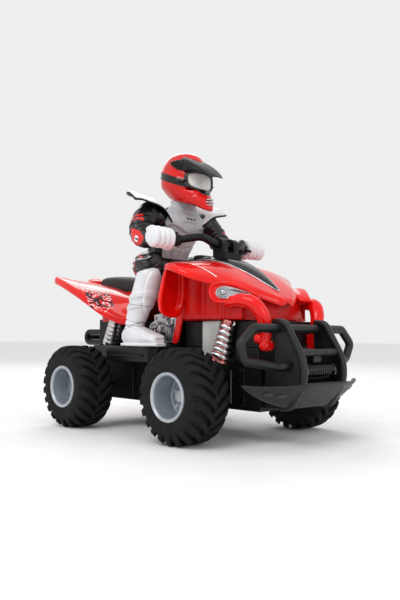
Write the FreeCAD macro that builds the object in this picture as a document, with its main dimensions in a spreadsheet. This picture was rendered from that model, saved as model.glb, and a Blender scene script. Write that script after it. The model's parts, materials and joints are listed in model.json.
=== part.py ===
"""Remote-control quad bike with its rider: a parametric FreeCAD model in millimetres.

Frame: +X is the driving direction, +Y the vehicle's left, +Z up. The origin is on the ground,
midway between the two axles, which is also the middle of the overall length.
"""
import FreeCAD
import Part
import Sketcher
import math
import os
import re
from types import SimpleNamespace
from FreeCAD import Placement, Rotation, Vector

# ----------------------------------------------------------------- driving dimensions
DIMS = {
    # stance
    "wheelbase": 88.0,
    "track": 87.4,
    "overhang": 50.0,            # from each axle to the end of the bumper or of the tail
    "helmet_top": 154.6,
    # wheels
    "tyre_d": 45.0,
    "tyre_w": 21.0,
    "lug_depth": 2.3,
    "lug_count": 22.0,
    "lug_w": 3.4,
    "rim_lip_r": 11.4,
    "rim_bead_r": 10.6,
    "rim_dish_r": 9.4,
    "hub_set_in": 7.8,           # hub web behind the tyre's inner face
    "hub_web": 2.2,
    "hub_r": 3.4,
    "hub_len": 11.2,
    "stub_r": 1.5,
    "run_gap": 0.06,             # radial running clearance
    "clear_gap": 0.3,            # clearance between parts that only pass each other
    # hull
    "axle_over_floor": 7.0,      # axle centre above the hull's underside
    "hull_h": 21.5,
    "hull_half_w": 25.0,
    "nose_half_w": 19.5,
    "hull_wall": 1.6,
    "hull_tail": 18.0,           # hull behind the rear axle
    "hull_nose": 26.0,           # hull ahead of the front axle
    "deck_h": 8.0,
    "board_half_w": 38.5,
    "spine_half_w": 11.5,
    "spine_h": 19.0,
    "tower_h": 13.0,
    # battery
    "cell_d": 10.5,
    "cell_len": 44.5,
    "cell_front": 12.0,
    "door_len": 34.0,
    "door_w": 38.0,
    # gears
    "gear_module": 0.4,
    "pinion_teeth": 10.0,
    "wheel_teeth": 28.0,
    "small_teeth": 12.0,
    "gear_w": 3.0,
    "gear_plane": 18.0,          # inner face of the axle gear, from the middle plane
    "motor_r": 7.75,
    "motor_flat": 6.0,
    "motor_len": 20.0,
    # steering
    "kingpin_y": 28.0,
    "kingpin_r": 1.0,
    "arm_len": 8.0,
    "knuckle_r": 3.2,
    "knuckle_h": 11.0,
    "rod_w": 5.0,
    "rod_h": 2.0,
    "peg_r": 1.0,
    # front guard
    "guard_half_w": 44.0,
    "guard_tube_r": 2.1,
    "upright_y": 13.5,
    "upright_t": 3.4,
    # bars and rider
    "grip_r": 2.3,
    "bar_r": 2.0,
    "grip_y": 34.5,
    "grip_len": 15.0,
    "shoulder_y": 22.5,
    "neck_r": 4.0,
}

doc = FreeCAD.newDocument("quad_bike")
dims = doc.addObject("Spreadsheet::Sheet", "dims")
for row, (alias, value) in enumerate(DIMS.items(), 1):
    dims.set(f"A{row}", alias)
    dims.set(f"B{row}", str(value))
    dims.setAlias(f"B{row}", alias)
doc.recompute()
S = SimpleNamespace(**{alias: float(dims.get(alias)) for alias in DIMS})

# Places that follow from the sheet, as expressions for bound objects and as numbers for built shapes.
AXLE_Z = "tyre_d / 2"
FRONT_X = "wheelbase / 2"
REAR_X = "-wheelbase / 2"
FLOOR_Z = "tyre_d / 2 - axle_over_floor"
HULL_TOP = "tyre_d / 2 - axle_over_floor + hull_h"
DECK_TOP = "tyre_d / 2 - axle_over_floor + hull_h + deck_h"
NECK_X = "wheelbase / 2 - tyre_d / 2 - 2"        # where the hull narrows for the front wheels
HUB_Y = "track / 2 - tyre_w / 2"                 # inner face of the wheel

axle_z = S.tyre_d / 2
front_x = S.wheelbase / 2
rear_x = -S.wheelbase / 2
floor_z = axle_z - S.axle_over_floor
deck_z = floor_z + S.hull_h + S.deck_h
bumper_x = front_x + S.overhang
tail_x = rear_x - S.overhang

WORDS = re.compile(r"\b(" + "|".join(sorted(DIMS, key=len, reverse=True)) + r")\b")
PARTS = []


# ----------------------------------------------------------------- small helpers
def ex(text):
    """An expression in sheet aliases, in the form that setExpression reads."""
    return WORDS.sub(r"dims.\1", str(text))


def bind(obj, **values):
    for prop, text in values.items():
        obj.setExpression(prop, ex(text))
    return obj


def put(obj, x="0", y="0", z="0"):
    for key, text in zip("xyz", (x, y, z)):
        obj.setExpression(f"Placement.Base.{key}", ex(text))
    return obj


TURNS = {
    "X": Rotation(Vector(0, 1, 0), 90),
    "Y": Rotation(Vector(1, 0, 0), -90),
    "-Y": Rotation(Vector(1, 0, 0), 90),
    "Z": Rotation(),
}


def box(name, x, y, z, lx, ly, lz):
    obj = doc.addObject("Part::Box", name)
    return put(bind(obj, Length=lx, Width=ly, Height=lz), x, y, z)


def cylinder(name, r, h, x="0", y="0", z="0", along="Z"):
    obj = doc.addObject("Part::Cylinder", name)
    obj.Placement = Placement(Vector(), TURNS[along])
    return put(bind(obj, Radius=r, Height=h), x, y, z)


def fuse(name, *shapes):
    obj = doc.addObject("Part::MultiFuse", name)
    obj.Shapes = list(shapes)
    obj.Refine = True
    return obj


def cut(name, base, *tools):
    for n, tool in enumerate(tools):
        obj = doc.addObject("Part::Cut", name if n == len(tools) - 1 else f"{name}_cut{n}")
        obj.Base = base
        obj.Tool = tool
        obj.Refine = True
        base = obj
    return base


def common(name, a, b):
    obj = doc.addObject("Part::Common", name)
    obj.Base = a
    obj.Tool = b
    return obj


def mirrored(name, source):
    obj = doc.addObject("Part::Mirroring", name)
    obj.Source = source
    obj.Normal = (0, 1, 0)
    obj.Base = (0, 0, 0)
    return obj


def group(name, *shapes):
    obj = doc.addObject("Part::Compound", name)
    obj.Links = list(shapes)
    return obj


def pair(name, source):
    """The piece and its mirror image, as one node of two solids."""
    return group(name, source, mirrored(name + "_twin", source))


def built(name, shape):
    obj = doc.addObject("Part::Feature", name)
    obj.Shape = shape
    return obj


def part(obj, label):
    """Names a finished sub-part; its label is its node and file name."""
    obj.Label = label
    PARTS.append(obj)
    return obj


def sketch(body, name, plane, points, lift=None):
    """A closed outline on one of the body's own planes, each corner held by bound distances."""
    sk = body.newObject("Sketcher::SketchObject", name)
    face = [f for f in body.Origin.OriginFeatures if f.Role == plane][0]
    sk.AttachmentSupport = [(face, "")]
    sk.MapMode = "FlatFace"
    if lift is not None:
        sk.setExpression("AttachmentOffset.Base.z", ex(lift))
    ring = 20.0
    n = len(points)
    spots = [Vector(ring * math.cos(2 * math.pi * i / n), ring * math.sin(2 * math.pi * i / n), 0)
             for i in range(n)]
    sk.addGeometry([Part.LineSegment(spots[i], spots[(i + 1) % n]) for i in range(n)], False)
    for i in range(n):
        sk.addConstraint(Sketcher.Constraint("Coincident", i, 2, (i + 1) % n, 1))
    for i, (u, v) in enumerate(points):
        for kind, text, start in (("DistanceX", u, spots[i].x), ("DistanceY", v, spots[i].y)):
            c = sk.addConstraint(Sketcher.Constraint(kind, -1, 1, i, 1, start))
            sk.setExpression(f"Constraints[{c}]", ex(text))
    return sk


def padded(name, plane, points, depth, lift=None, midplane=False):
    """A straight-sided block: a bound outline and a bound depth."""
    body = doc.addObject("PartDesign::Body", name)
    pad = body.newObject("PartDesign::Pad", name + "_pad")
    pad.Profile = sketch(body, name + "_outline", plane, points, lift)
    pad.setExpression("Length", ex(depth))
    pad.Midplane = midplane
    body.Tip = pad
    return body


def turned(name, points, x, y, z, along):
    """A turned piece: (radius, length along its axis) corners."""
    body = doc.addObject("PartDesign::Body", name)
    spin = body.newObject("PartDesign::Revolution", name + "_spin")
    outline = sketch(body, name + "_outline", "XZ_Plane", points)
    spin.Profile = outline
    spin.ReferenceAxis = (outline, ["V_Axis"])
    spin.Angle = 360
    body.Tip = spin
    body.Placement = Placement(Vector(), TURNS[along])
    return put(body, x, y, z)


def mirror_y(shape):
    return shape.mirror(Vector(), Vector(0, 1, 0))


def polygon(points):
    return Part.makePolygon([Vector(*p) for p in points] + [Vector(*points[0])])


def prism(points, along):
    """A flat outline in space, extruded along a vector."""
    return Part.Face(polygon(points)).extrude(Vector(*along))


def ruled_loft(sections):
    return Part.makeLoft([polygon(s) for s in sections], True, True)


def oval(centre, a, b, normal=(0, 0, 1), across=(0, 1, 0)):
    """An elliptical section: b lies along 'across', a at right angles to it."""
    n = Vector(*normal).normalize()
    v = Vector(*across)
    v = (v - n * v.dot(n)).normalize()
    u = v.cross(n)
    c = Vector(*centre)
    big, small, axis, other = (a, b, u, v) if a >= b else (b, a, v, u)
    if big - small < 1e-6:
        curve = Part.Circle(c, n, big)
    else:
        curve = Part.Ellipse(c + axis * big, c + other * small, c)
    return Part.Wire([curve.toShape()])


def oval_loft(sections):
    return Part.makeLoft([oval(*s) for s in sections], True, False)


def rounded_path(points, radius):
    """Straight runs joined by tangent arcs."""
    pts = [Vector(*p) for p in points]
    edges, last = [], pts[0]
    for a, b, c in zip(pts, pts[1:], pts[2:]):
        u, v = (a - b).normalize(), (c - b).normalize()
        if (u + v).Length < 1e-6:
            edges.append(Part.LineSegment(last, b).toShape())
            last = b
            continue
        half = u.getAngle(v) / 2
        reach = min(radius / math.tan(half), 0.45 * (a - b).Length, 0.45 * (c - b).Length)
        bulge = reach * math.tan(half) / math.sin(half) - reach * math.tan(half)
        start, end = b + u * reach, b + v * reach
        edges.append(Part.LineSegment(last, start).toShape())
        edges.append(Part.Arc(start, b + (u + v).normalize() * bulge, end).toShape())
        last = end
    edges.append(Part.LineSegment(last, pts[-1]).toShape())
    return Part.Wire(edges)


def tube(points, radius, bend):
    path = rounded_path(points, bend)
    start = Vector(*points[0])
    circle = Part.Wire([Part.Circle(start, Vector(*points[1]) - start, radius).toShape()])
    return path.makePipeShell([circle], True, True)


# ----------------------------------------------------------------- wheels
def lug_outline(side, base_r):
    """One chevron bar of the tread, as a slab that stands over the top of the tyre; side is +1 or -1."""
    shoulder = S.tyre_w / 2
    sweep = 1.75 * S.lug_w
    inner = -0.1 * S.tyre_w
    pts = [(0.0, side * shoulder), (S.lug_w, side * shoulder), (sweep + S.lug_w, side * inner),
           (sweep, side * inner)]
    return prism([(x, y, base_r) for x, y in pts], (0, 0, 2 * S.lug_depth + 2))


def tyre_shape():
    """The carcass with raised chevron bars, its axle along Y and its outer face at +Y."""
    r, w, floor_r = S.tyre_d / 2, S.tyre_w, S.tyre_d / 2 - S.lug_depth
    bead = w / 2 - 0.9
    outline = [(S.rim_bead_r, -bead), (S.rim_lip_r + 0.3, -bead), (floor_r - 3.2, -w / 2),
               (floor_r - 0.8, -w / 2 + 0.9),
               (floor_r, -w / 2 + 3.2), (floor_r, w / 2 - 3.2), (floor_r - 0.8, w / 2 - 0.9),
               (floor_r - 3.2, w / 2),
               (S.rim_lip_r + 0.3, bead), (S.rim_bead_r, bead)]
    carcass = Part.Face(polygon([(x, y, 0) for x, y in outline])).revolve(Vector(), Vector(0, 1, 0), 360)
    lug_zone = [(floor_r - 2.6, -w / 2), (r - 1.6, -w / 2 + 0.4), (r, -w / 2 + 2.4), (r, w / 2 - 2.4),
                (r - 1.6, w / 2 - 0.4), (floor_r - 2.6, w / 2)]
    zone = Part.Face(polygon([(x, y, 0) for x, y in lug_zone])).revolve(Vector(), Vector(0, 1, 0), 360)
    bars = []
    pitch = 360 / S.lug_count
    for side in (1, -1):
        slab = lug_outline(side, floor_r - 3.2).common(zone)
        for i in range(int(S.lug_count)):
            bar = slab.copy()
            bar.rotate(Vector(), Vector(0, 1, 0), pitch * (i + (0.5 if side < 0 else 0)))
            bars.append(bar)
    return carcass.multiFuse(bars)


def rim_shape():
    """A deep-dish rim, its axle along Y and its dish open at +Y, with five round recesses in the hub face."""
    half = S.tyre_w / 2
    web_in = -half + S.hub_set_in
    hub_in = -half + 0.4
    bore = S.stub_r + S.run_gap
    outline = [(bore, hub_in), (S.hub_r, hub_in), (S.hub_r, web_in), (S.rim_dish_r - 0.4, web_in),
               (S.rim_dish_r - 0.4, -half), (S.rim_lip_r, -half), (S.rim_lip_r, -half + 0.9),
               (S.rim_bead_r, -half + 0.9),
               (S.rim_bead_r, half - 0.9), (S.rim_lip_r, half - 0.9), (S.rim_lip_r, half + 0.2),
               (S.rim_dish_r + 0.7, half + 0.2),
               (S.rim_dish_r, half - 1.2), (S.rim_dish_r - 0.4, web_in + S.hub_web),
               (S.hub_r, web_in + S.hub_web),
               (S.hub_r, hub_in + S.hub_len), (bore, hub_in + S.hub_len)]
    rim = Part.Face(polygon([(x, y, 0) for x, y in outline])).revolve(Vector(), Vector(0, 1, 0), 360)
    ring = (S.hub_r + S.rim_dish_r) / 2
    for i in range(5):
        a = math.radians(72 * i + 36)
        hole = Part.makeCylinder(1.35, 1.2, Vector(ring * math.cos(a), web_in + S.hub_web - 1.0,
                                                   ring * math.sin(a)),
                                 Vector(0, 1, 0))
        rim = rim.cut(hole)
    return rim


def wheels():
    tyre, rim = tyre_shape(), rim_shape()
    for end, x in (("front", front_x), ("rear", rear_x)):
        for side, sign in (("left", 1), ("right", -1)):
            for kind, shape in (("tyre", tyre), ("rim", rim)):
                piece = shape if sign > 0 else mirror_y(shape)
                obj = part(built(f"{kind}_{end}_{side}", piece), f"{kind}_{end}_{side}")
                obj.Placement = Placement(Vector(x, sign * S.track / 2, axle_z), Rotation())


# ----------------------------------------------------------------- hull, deck and towers
def hull():
    half_plan = [("-wheelbase / 2 - hull_tail", "hull_half_w - 4"),
                 ("-wheelbase / 2 - hull_tail + 6", "hull_half_w"),
                 (NECK_X, "hull_half_w"), (NECK_X, "nose_half_w"),
                 (FRONT_X + " + hull_nose", "nose_half_w")]
    plan = half_plan + [(x, f"-({y})") for x, y in reversed(half_plan)]
    shell = padded("hull_block", "XY_Plane", plan, "hull_h", lift=FLOOR_Z)
    inner = [("-wheelbase / 2 - hull_tail + hull_wall", "hull_half_w - 4 - hull_wall"),
             ("-wheelbase / 2 - hull_tail + 6", "hull_half_w - hull_wall"),
             (NECK_X + " - hull_wall", "hull_half_w - hull_wall"),
             (NECK_X + " - hull_wall", "nose_half_w - hull_wall"),
             (FRONT_X + " + hull_nose - hull_wall", "nose_half_w - hull_wall")]
    hollow_plan = inner + [(x, f"-({y})") for x, y in reversed(inner)]
    hollow = padded("hull_hollow", "XY_Plane", hollow_plan, "hull_h", lift=FLOOR_Z + " + hull_wall")
    door_hole = box("door_hole", "cell_front + 1 - door_len", "-door_w / 2", FLOOR_Z + " - 1",
                    "door_len", "door_w",
                    "hull_wall + 2")
    rod_slot = box("rod_slot", FRONT_X + " - arm_len - rod_w / 2 - clear_gap", "-hull_half_w",
                   AXLE_Z + " + 2 - clear_gap",
                   "rod_w + 2 * clear_gap", "2 * hull_half_w", "rod_h + 2 * clear_gap")
    bush_hole = cylinder("bush_hole", "2 * stub_r", "2 * hull_half_w + 2", REAR_X, "-hull_half_w - 1",
                         AXLE_Z, "Y")
    switch_slot = box("switch_slot", "-wheelbase / 2 - 9", "-5", FLOOR_Z + " - 1", "3.6", "10",
                      "hull_wall + 2")
    relief = box("gear_relief", REAR_X + " - 5", "gear_plane - 0.6", FLOOR_Z + " + hull_wall / 2 - 0.1",
                 "10",
                 "gear_w + 1.2", "hull_wall")
    shell = cut("hull_shell", shell, hollow, door_hole, rod_slot, bush_hole, switch_slot, relief)
    lugs = []
    for tag, sign, low in (("low", 1, FLOOR_Z), ("high", 1, AXLE_Z + " + knuckle_h / 2 + 0.7")):
        arm = box(f"lug_{tag}", FRONT_X + " - 4", "nose_half_w - 1", low, "8",
                  "kingpin_y - nose_half_w + 1", "hull_wall")
        eye = cylinder(f"eye_{tag}", "4", "hull_wall", FRONT_X, "kingpin_y", low)
        hole = cylinder(f"pin_hole_{tag}", "kingpin_r", "3 * hull_wall", FRONT_X, "kingpin_y",
                        f"{low} - hull_wall")
        lug = cut(f"kingpin_lug_{tag}", fuse(f"lug_{tag}_body", arm, eye), hole)
        lugs += [lug, mirrored(f"kingpin_lug_{tag}_right", lug)]
    rib = box("gear_rib", REAR_X + " - 5", "gear_plane - gear_w - 4.5", FLOOR_Z + " + hull_wall", "27",
              "hull_wall", "hull_h - hull_wall")
    red_x, red_z, motor_x, motor_z = gear_places()
    axle_clear = cylinder("rib_axle_hole", "stub_r + clear_gap", "4", REAR_X,
                          "gear_plane - gear_w - 5.5", AXLE_Z, "Y")
    pivot = cylinder("rib_pivot_hole", "1 + run_gap", "4", str(red_x), "gear_plane - gear_w - 5.5",
                     str(red_z), "Y")
    boss = cylinder("rib_motor_hole", "2.6", "4", str(motor_x), "gear_plane - gear_w - 5.5",
                    str(motor_z), "Y")
    rib = cut("gear_rib_bored", rib, axle_clear, pivot, boss)
    wall_pivot = cylinder("wall_pivot_hole", "1 + run_gap", "1.2", str(red_x),
                          "hull_half_w - hull_wall - 0.2",
                          str(red_z), "Y")
    body = cut("hull_all", fuse("hull_ribbed", shell, rib, *lugs), wall_pivot)
    part(body, "chassis_tub")


def gear_places():
    """Centres of the reduction gear and of the motor, seen along Y."""
    mesh = 0.1
    first = S.gear_module * (S.wheel_teeth + S.small_teeth) / 2 + mesh
    second = S.gear_module * (S.wheel_teeth + S.pinion_teeth) / 2 + mesh
    lean = math.radians(40)
    red_x, red_z = rear_x + first * math.cos(lean), axle_z + first * math.sin(lean)
    return red_x, red_z, red_x + second * math.cos(lean), red_z + second * math.sin(lean)


def deck():
    board_front = "wheelbase / 2 - tyre_d / 2 - 7.5"
    board_rear = "-wheelbase / 2 + tyre_d / 2 - 3"
    half = [("-wheelbase / 2 - hull_tail", "hull_half_w - 4"),
            ("-wheelbase / 2 - hull_tail + 6", "hull_half_w"),
            (board_rear, "hull_half_w"), (board_rear, "board_half_w"),
            (board_front + " - 3", "board_half_w"),
            (board_front, "board_half_w - 4"), (board_front, "hull_half_w"), (NECK_X, "hull_half_w"),
            (NECK_X, "nose_half_w + 1"), (FRONT_X + " + hull_nose", "nose_half_w + 1")]
    plan = half + [(x, f"-({y})") for x, y in reversed(half)]
    plate = padded("deck_plate", "XY_Plane", plan, "deck_h", lift=HULL_TOP)
    inner = [("-wheelbase / 2 - hull_tail + hull_wall", "hull_half_w - 4 - hull_wall"),
             ("-wheelbase / 2 - hull_tail + 6", "hull_half_w - hull_wall"),
             (NECK_X + " - hull_wall", "hull_half_w - hull_wall"),
             (NECK_X + " - hull_wall", "nose_half_w - hull_wall"),
             (FRONT_X + " + hull_nose - hull_wall", "nose_half_w - hull_wall")]
    hollow_plan = inner + [(x, f"-({y})") for x, y in reversed(inner)]
    hollow = padded("deck_hollow", "XY_Plane", hollow_plan, "deck_h - 1.8", lift=HULL_TOP)
    under = []
    for tag, y in (("left", "hull_half_w + hull_wall"), ("right", "-board_half_w + hull_wall")):
        under.append(box(f"board_hollow_{tag}", board_rear + " + hull_wall", y, HULL_TOP + " - 1",
                         board_front + " - 4 - (" + board_rear + ") - 2 * hull_wall",
                         "board_half_w - hull_half_w - 2 * hull_wall", "deck_h - 1"))
    spine = box("spine", "-14", "-spine_half_w", DECK_TOP + " - 1", "34", "2 * spine_half_w",
                "spine_h + 1")
    shelf = box("shock_shelf", FRONT_X + " + 1.4", "-nose_half_w - 7", DECK_TOP + " - 7.2", "8.4",
                "2 * nose_half_w + 14", "2")
    plate = cut("deck_shell", fuse("deck_with_shelf", plate, shelf), hollow, *under)
    part(fuse("deck_all", plate, spine), "chassis_deck")


def tower(name, label, x, lx, half_w, h):
    block = box(name + "_block", x, f"-({half_w})", DECK_TOP, lx, f"2 * ({half_w})", h)
    hollow = box(name + "_hollow", f"{x} + hull_wall", f"-({half_w}) + hull_wall", DECK_TOP + " - 1",
                 f"{lx} - 2 * hull_wall", f"2 * ({half_w}) - 2 * hull_wall", f"{h} - hull_wall + 1")
    part(cut(name, block, hollow), label)


def towers():
    tower("front_tower", "front_tower", "20.4", FRONT_X + " + hull_nose - 20.4", "nose_half_w + 1",
          "tower_h")
    tower("rear_tower", "rear_tower", REAR_X + " - hull_tail + 0.2", "23", "17", "tower_h + 2.5")


def battery_bay():
    door = box("door_plate", "cell_front + 1 - door_len + clear_gap", "-door_w / 2 + clear_gap", FLOOR_Z,
               "door_len - 2 * clear_gap", "door_w - 2 * clear_gap", "hull_wall")
    well = cylinder("door_screw_well", "2.1", "1.2", "cell_front + 5 - door_len", "0", FLOOR_Z + " - 0.2")
    bore = cylinder("door_screw_bore", "kingpin_r", "hull_wall + 1", "cell_front + 5 - door_len", "0",
                    FLOOR_Z)
    part(cut("door", door, well, bore), "battery_door")
    head = cylinder("door_screw_head", "1.9", "0.9", "cell_front + 5 - door_len", "0", FLOOR_Z + " + 0.1")
    shank = cylinder("door_screw_shank", "kingpin_r", "1.5", "cell_front + 5 - door_len", "0",
                     FLOOR_Z + " + 0.6")
    part(fuse("door_screw_all", head, shank), "door_screw")
    cells = []
    for i in range(3):
        can = cylinder(f"cell_{i}", "cell_d / 2", "cell_len - 1",
                       f"cell_front - cell_d / 2 - {i} * (cell_d + 0.2)",
                       "-cell_len / 2", FLOOR_Z + " + hull_wall + cell_d / 2 + 0.6", "Y")
        nub = cylinder(f"cell_nub_{i}", "1.9", "1.2", f"cell_front - cell_d / 2 - {i} * (cell_d + 0.2)",
                       "cell_len / 2 - 1.2", FLOOR_Z + " + hull_wall + cell_d / 2 + 0.6", "Y")
        cells.append(fuse(f"cell_{i}_all", can, nub))
    part(group("cells", *cells), "battery_cells")
    board = box("board", "cell_front - 30", "-18", FLOOR_Z + " + hull_wall + cell_d + 2.4", "29", "36",
                "1.2")
    chip = box("board_chip", "cell_front - 20", "-5", FLOOR_Z + " + hull_wall + cell_d + 3.4", "8",
               "10", "1.8")
    coil = cylinder("board_coil", "2.2", "5", "cell_front - 6", "9",
                    FLOOR_Z + " + hull_wall + cell_d + 3.4")
    part(fuse("board_all", board, chip, coil), "circuit_board")
    slider = box("switch_slider", "-wheelbase / 2 - 9 + clear_gap", "-4.6", FLOOR_Z + " + 0.3", "3",
                 "5", "hull_wall + 1.6")
    part(slider, "power_switch")


# ----------------------------------------------------------------- drive train
def gear(teeth, width, tip=0.9, thin=0.16):
    """A spur gear on the Y axis; its first tooth points along +X. Flanks follow the involute."""
    m, n = S.gear_module, int(teeth)
    pitch_r = m * n / 2
    base_r = pitch_r * math.cos(math.radians(20))
    tip_r, root_r = pitch_r + tip * m, pitch_r - 1.25 * m

    def roll(r):
        t = math.sqrt(max((r / base_r) ** 2 - 1, 0))
        return t - math.atan(t)

    def half_angle(r):
        return math.pi / (2 * n) - thin / (2 * pitch_r) + roll(pitch_r) - roll(max(r, base_r))

    radii = [root_r, max(base_r, root_r + 0.05), (pitch_r + base_r) / 2 + 0.05, pitch_r + 0.4 * tip * m,
             tip_r]
    pts = []
    for k in range(n):
        mid = 2 * math.pi * k / n
        flank = [(r, mid - half_angle(r)) for r in radii]
        flank += [(r, mid + half_angle(r)) for r in reversed(radii)]
        pts += [(r * math.cos(a), 0, r * math.sin(a)) for r, a in flank]
    return prism(pts, (0, width, 0))


def spun(shape, degrees, x, y, z):
    """Turned about Y, anticlockwise seen from -Y, then set in place."""
    out = shape.copy()
    out.rotate(Vector(), Vector(0, -1, 0), degrees)
    out.translate(Vector(x, y, z))
    return out


def drive_train():
    red_x, red_z, motor_x, motor_z = gear_places()
    lean = 40.0
    low_plane = S.gear_plane - S.gear_w - 1.0
    axle_gear = spun(gear(S.wheel_teeth, S.gear_w), lean, rear_x, S.gear_plane, axle_z)
    bore = Part.makeCylinder(S.stub_r, 20, Vector(rear_x, S.gear_plane - 5, axle_z), Vector(0, 1, 0))
    part(built("axle_gear_shape", axle_gear.cut(bore)), "axle_gear")
    small = spun(gear(S.small_teeth, S.gear_w), lean + 180 + 180 / S.small_teeth, red_x, S.gear_plane,
                 red_z)
    large = spun(gear(S.wheel_teeth, S.gear_w), lean, red_x, low_plane, red_z)
    sleeve = Part.makeCylinder(2.2, 1.4, Vector(red_x, S.gear_plane - 1.2, red_z), Vector(0, 1, 0))
    rib_y = S.gear_plane - S.gear_w - 4.5
    shaft = Part.makeCylinder(1.0, S.hull_half_w - S.hull_wall + 0.7 - rib_y, Vector(red_x, rib_y, red_z),
                              Vector(0, 1, 0))
    part(built("reduction_shape", large.multiFuse([small, sleeve, shaft])), "reduction_gear")
    pinion = spun(gear(S.pinion_teeth, S.gear_w), lean + 180 + 180 / S.pinion_teeth, motor_x, low_plane,
                  motor_z)
    motor_face = rib_y - 0.2
    stem = Part.makeCylinder(1.0, low_plane - motor_face, Vector(motor_x, motor_face, motor_z),
                             Vector(0, 1, 0))
    part(built("pinion_shape", pinion.fuse(stem)), "motor_pinion")
    can = cylinder("motor_can", "motor_r", "motor_len", str(motor_x), str(motor_face - S.motor_len),
                   str(motor_z), "Y")
    flats = box("motor_flats", str(motor_x - S.motor_r), str(motor_face - S.motor_len - 1),
                f"{motor_z} - motor_flat",
                "2 * motor_r", "motor_len + 2", "2 * motor_flat")
    boss = cylinder("motor_boss", "2.4", "1.2", str(motor_x), str(motor_face - 0.2), str(motor_z), "Y")
    clear = cylinder("motor_bore", "1 + run_gap", "5", str(motor_x), str(motor_face - 0.01),
                     str(motor_z), "Y")
    part(cut("motor", fuse("motor_body", common("motor_flat_can", can, flats), boss), clear),
         "drive_motor")
    rod_half = HUB_Y + " + hub_len + 0.5"
    rod = cylinder("axle_rod", "stub_r", f"2 * ({rod_half})", REAR_X, f"-({rod_half})", AXLE_Z, "Y")
    caps = [cylinder(f"axle_cap_{t}", "hub_r - 0.8", "1.6", REAR_X, y, AXLE_Z, "Y")
            for t, y in (("left", rod_half), ("right", f"-({rod_half}) - 1.6"))]
    part(fuse("axle_all", rod, *caps), "rear_axle")
    bush = turned("bush", [("stub_r + run_gap", "0"), ("2 * stub_r", "0"), ("2 * stub_r", "hull_wall"),
                           ("2 * stub_r + 1", "hull_wall"), ("2 * stub_r + 1", "hull_wall + 1"),
                           ("stub_r + run_gap", "hull_wall + 1")],
                  REAR_X, "hull_half_w - hull_wall", AXLE_Z, "Y")
    part(pair("bushes", bush), "axle_bushes")


# ----------------------------------------------------------------- steering
def knuckle():
    """The left steering knuckle: kingpin barrel, stub boss and steering arm with its peg."""
    low = AXLE_Z + " - knuckle_h / 2 + 0.5"
    barrel = cylinder("knuckle_barrel", "knuckle_r", "knuckle_h - 0.2", FRONT_X, "kingpin_y", low)
    boss = cylinder("knuckle_boss", "hub_r - 0.4", HUB_Y + " - kingpin_y", FRONT_X, "kingpin_y", AXLE_Z,
                    "Y")
    arm = box("knuckle_arm", FRONT_X + " - arm_len", "kingpin_y - 2.2", AXLE_Z + " - 0.7", "arm_len",
              "4.4", "2.4")
    end = cylinder("knuckle_arm_end", "2.2", "2.4", FRONT_X + " - arm_len", "kingpin_y",
                   AXLE_Z + " - 0.7")
    peg = cylinder("knuckle_peg", "peg_r", "rod_h + 1.4", FRONT_X + " - arm_len", "kingpin_y",
                   AXLE_Z + " + 1.2")
    pin = cylinder("knuckle_bore", "kingpin_r + run_gap", "knuckle_h + 4", FRONT_X, "kingpin_y",
                   f"{low} - 2")
    stub = cylinder("knuckle_stub_bore", "stub_r", "20", FRONT_X, "kingpin_y + 1.8", AXLE_Z, "Y")
    return cut("knuckle", fuse("knuckle_solid", barrel, boss, arm, end, peg), pin, stub)


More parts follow.
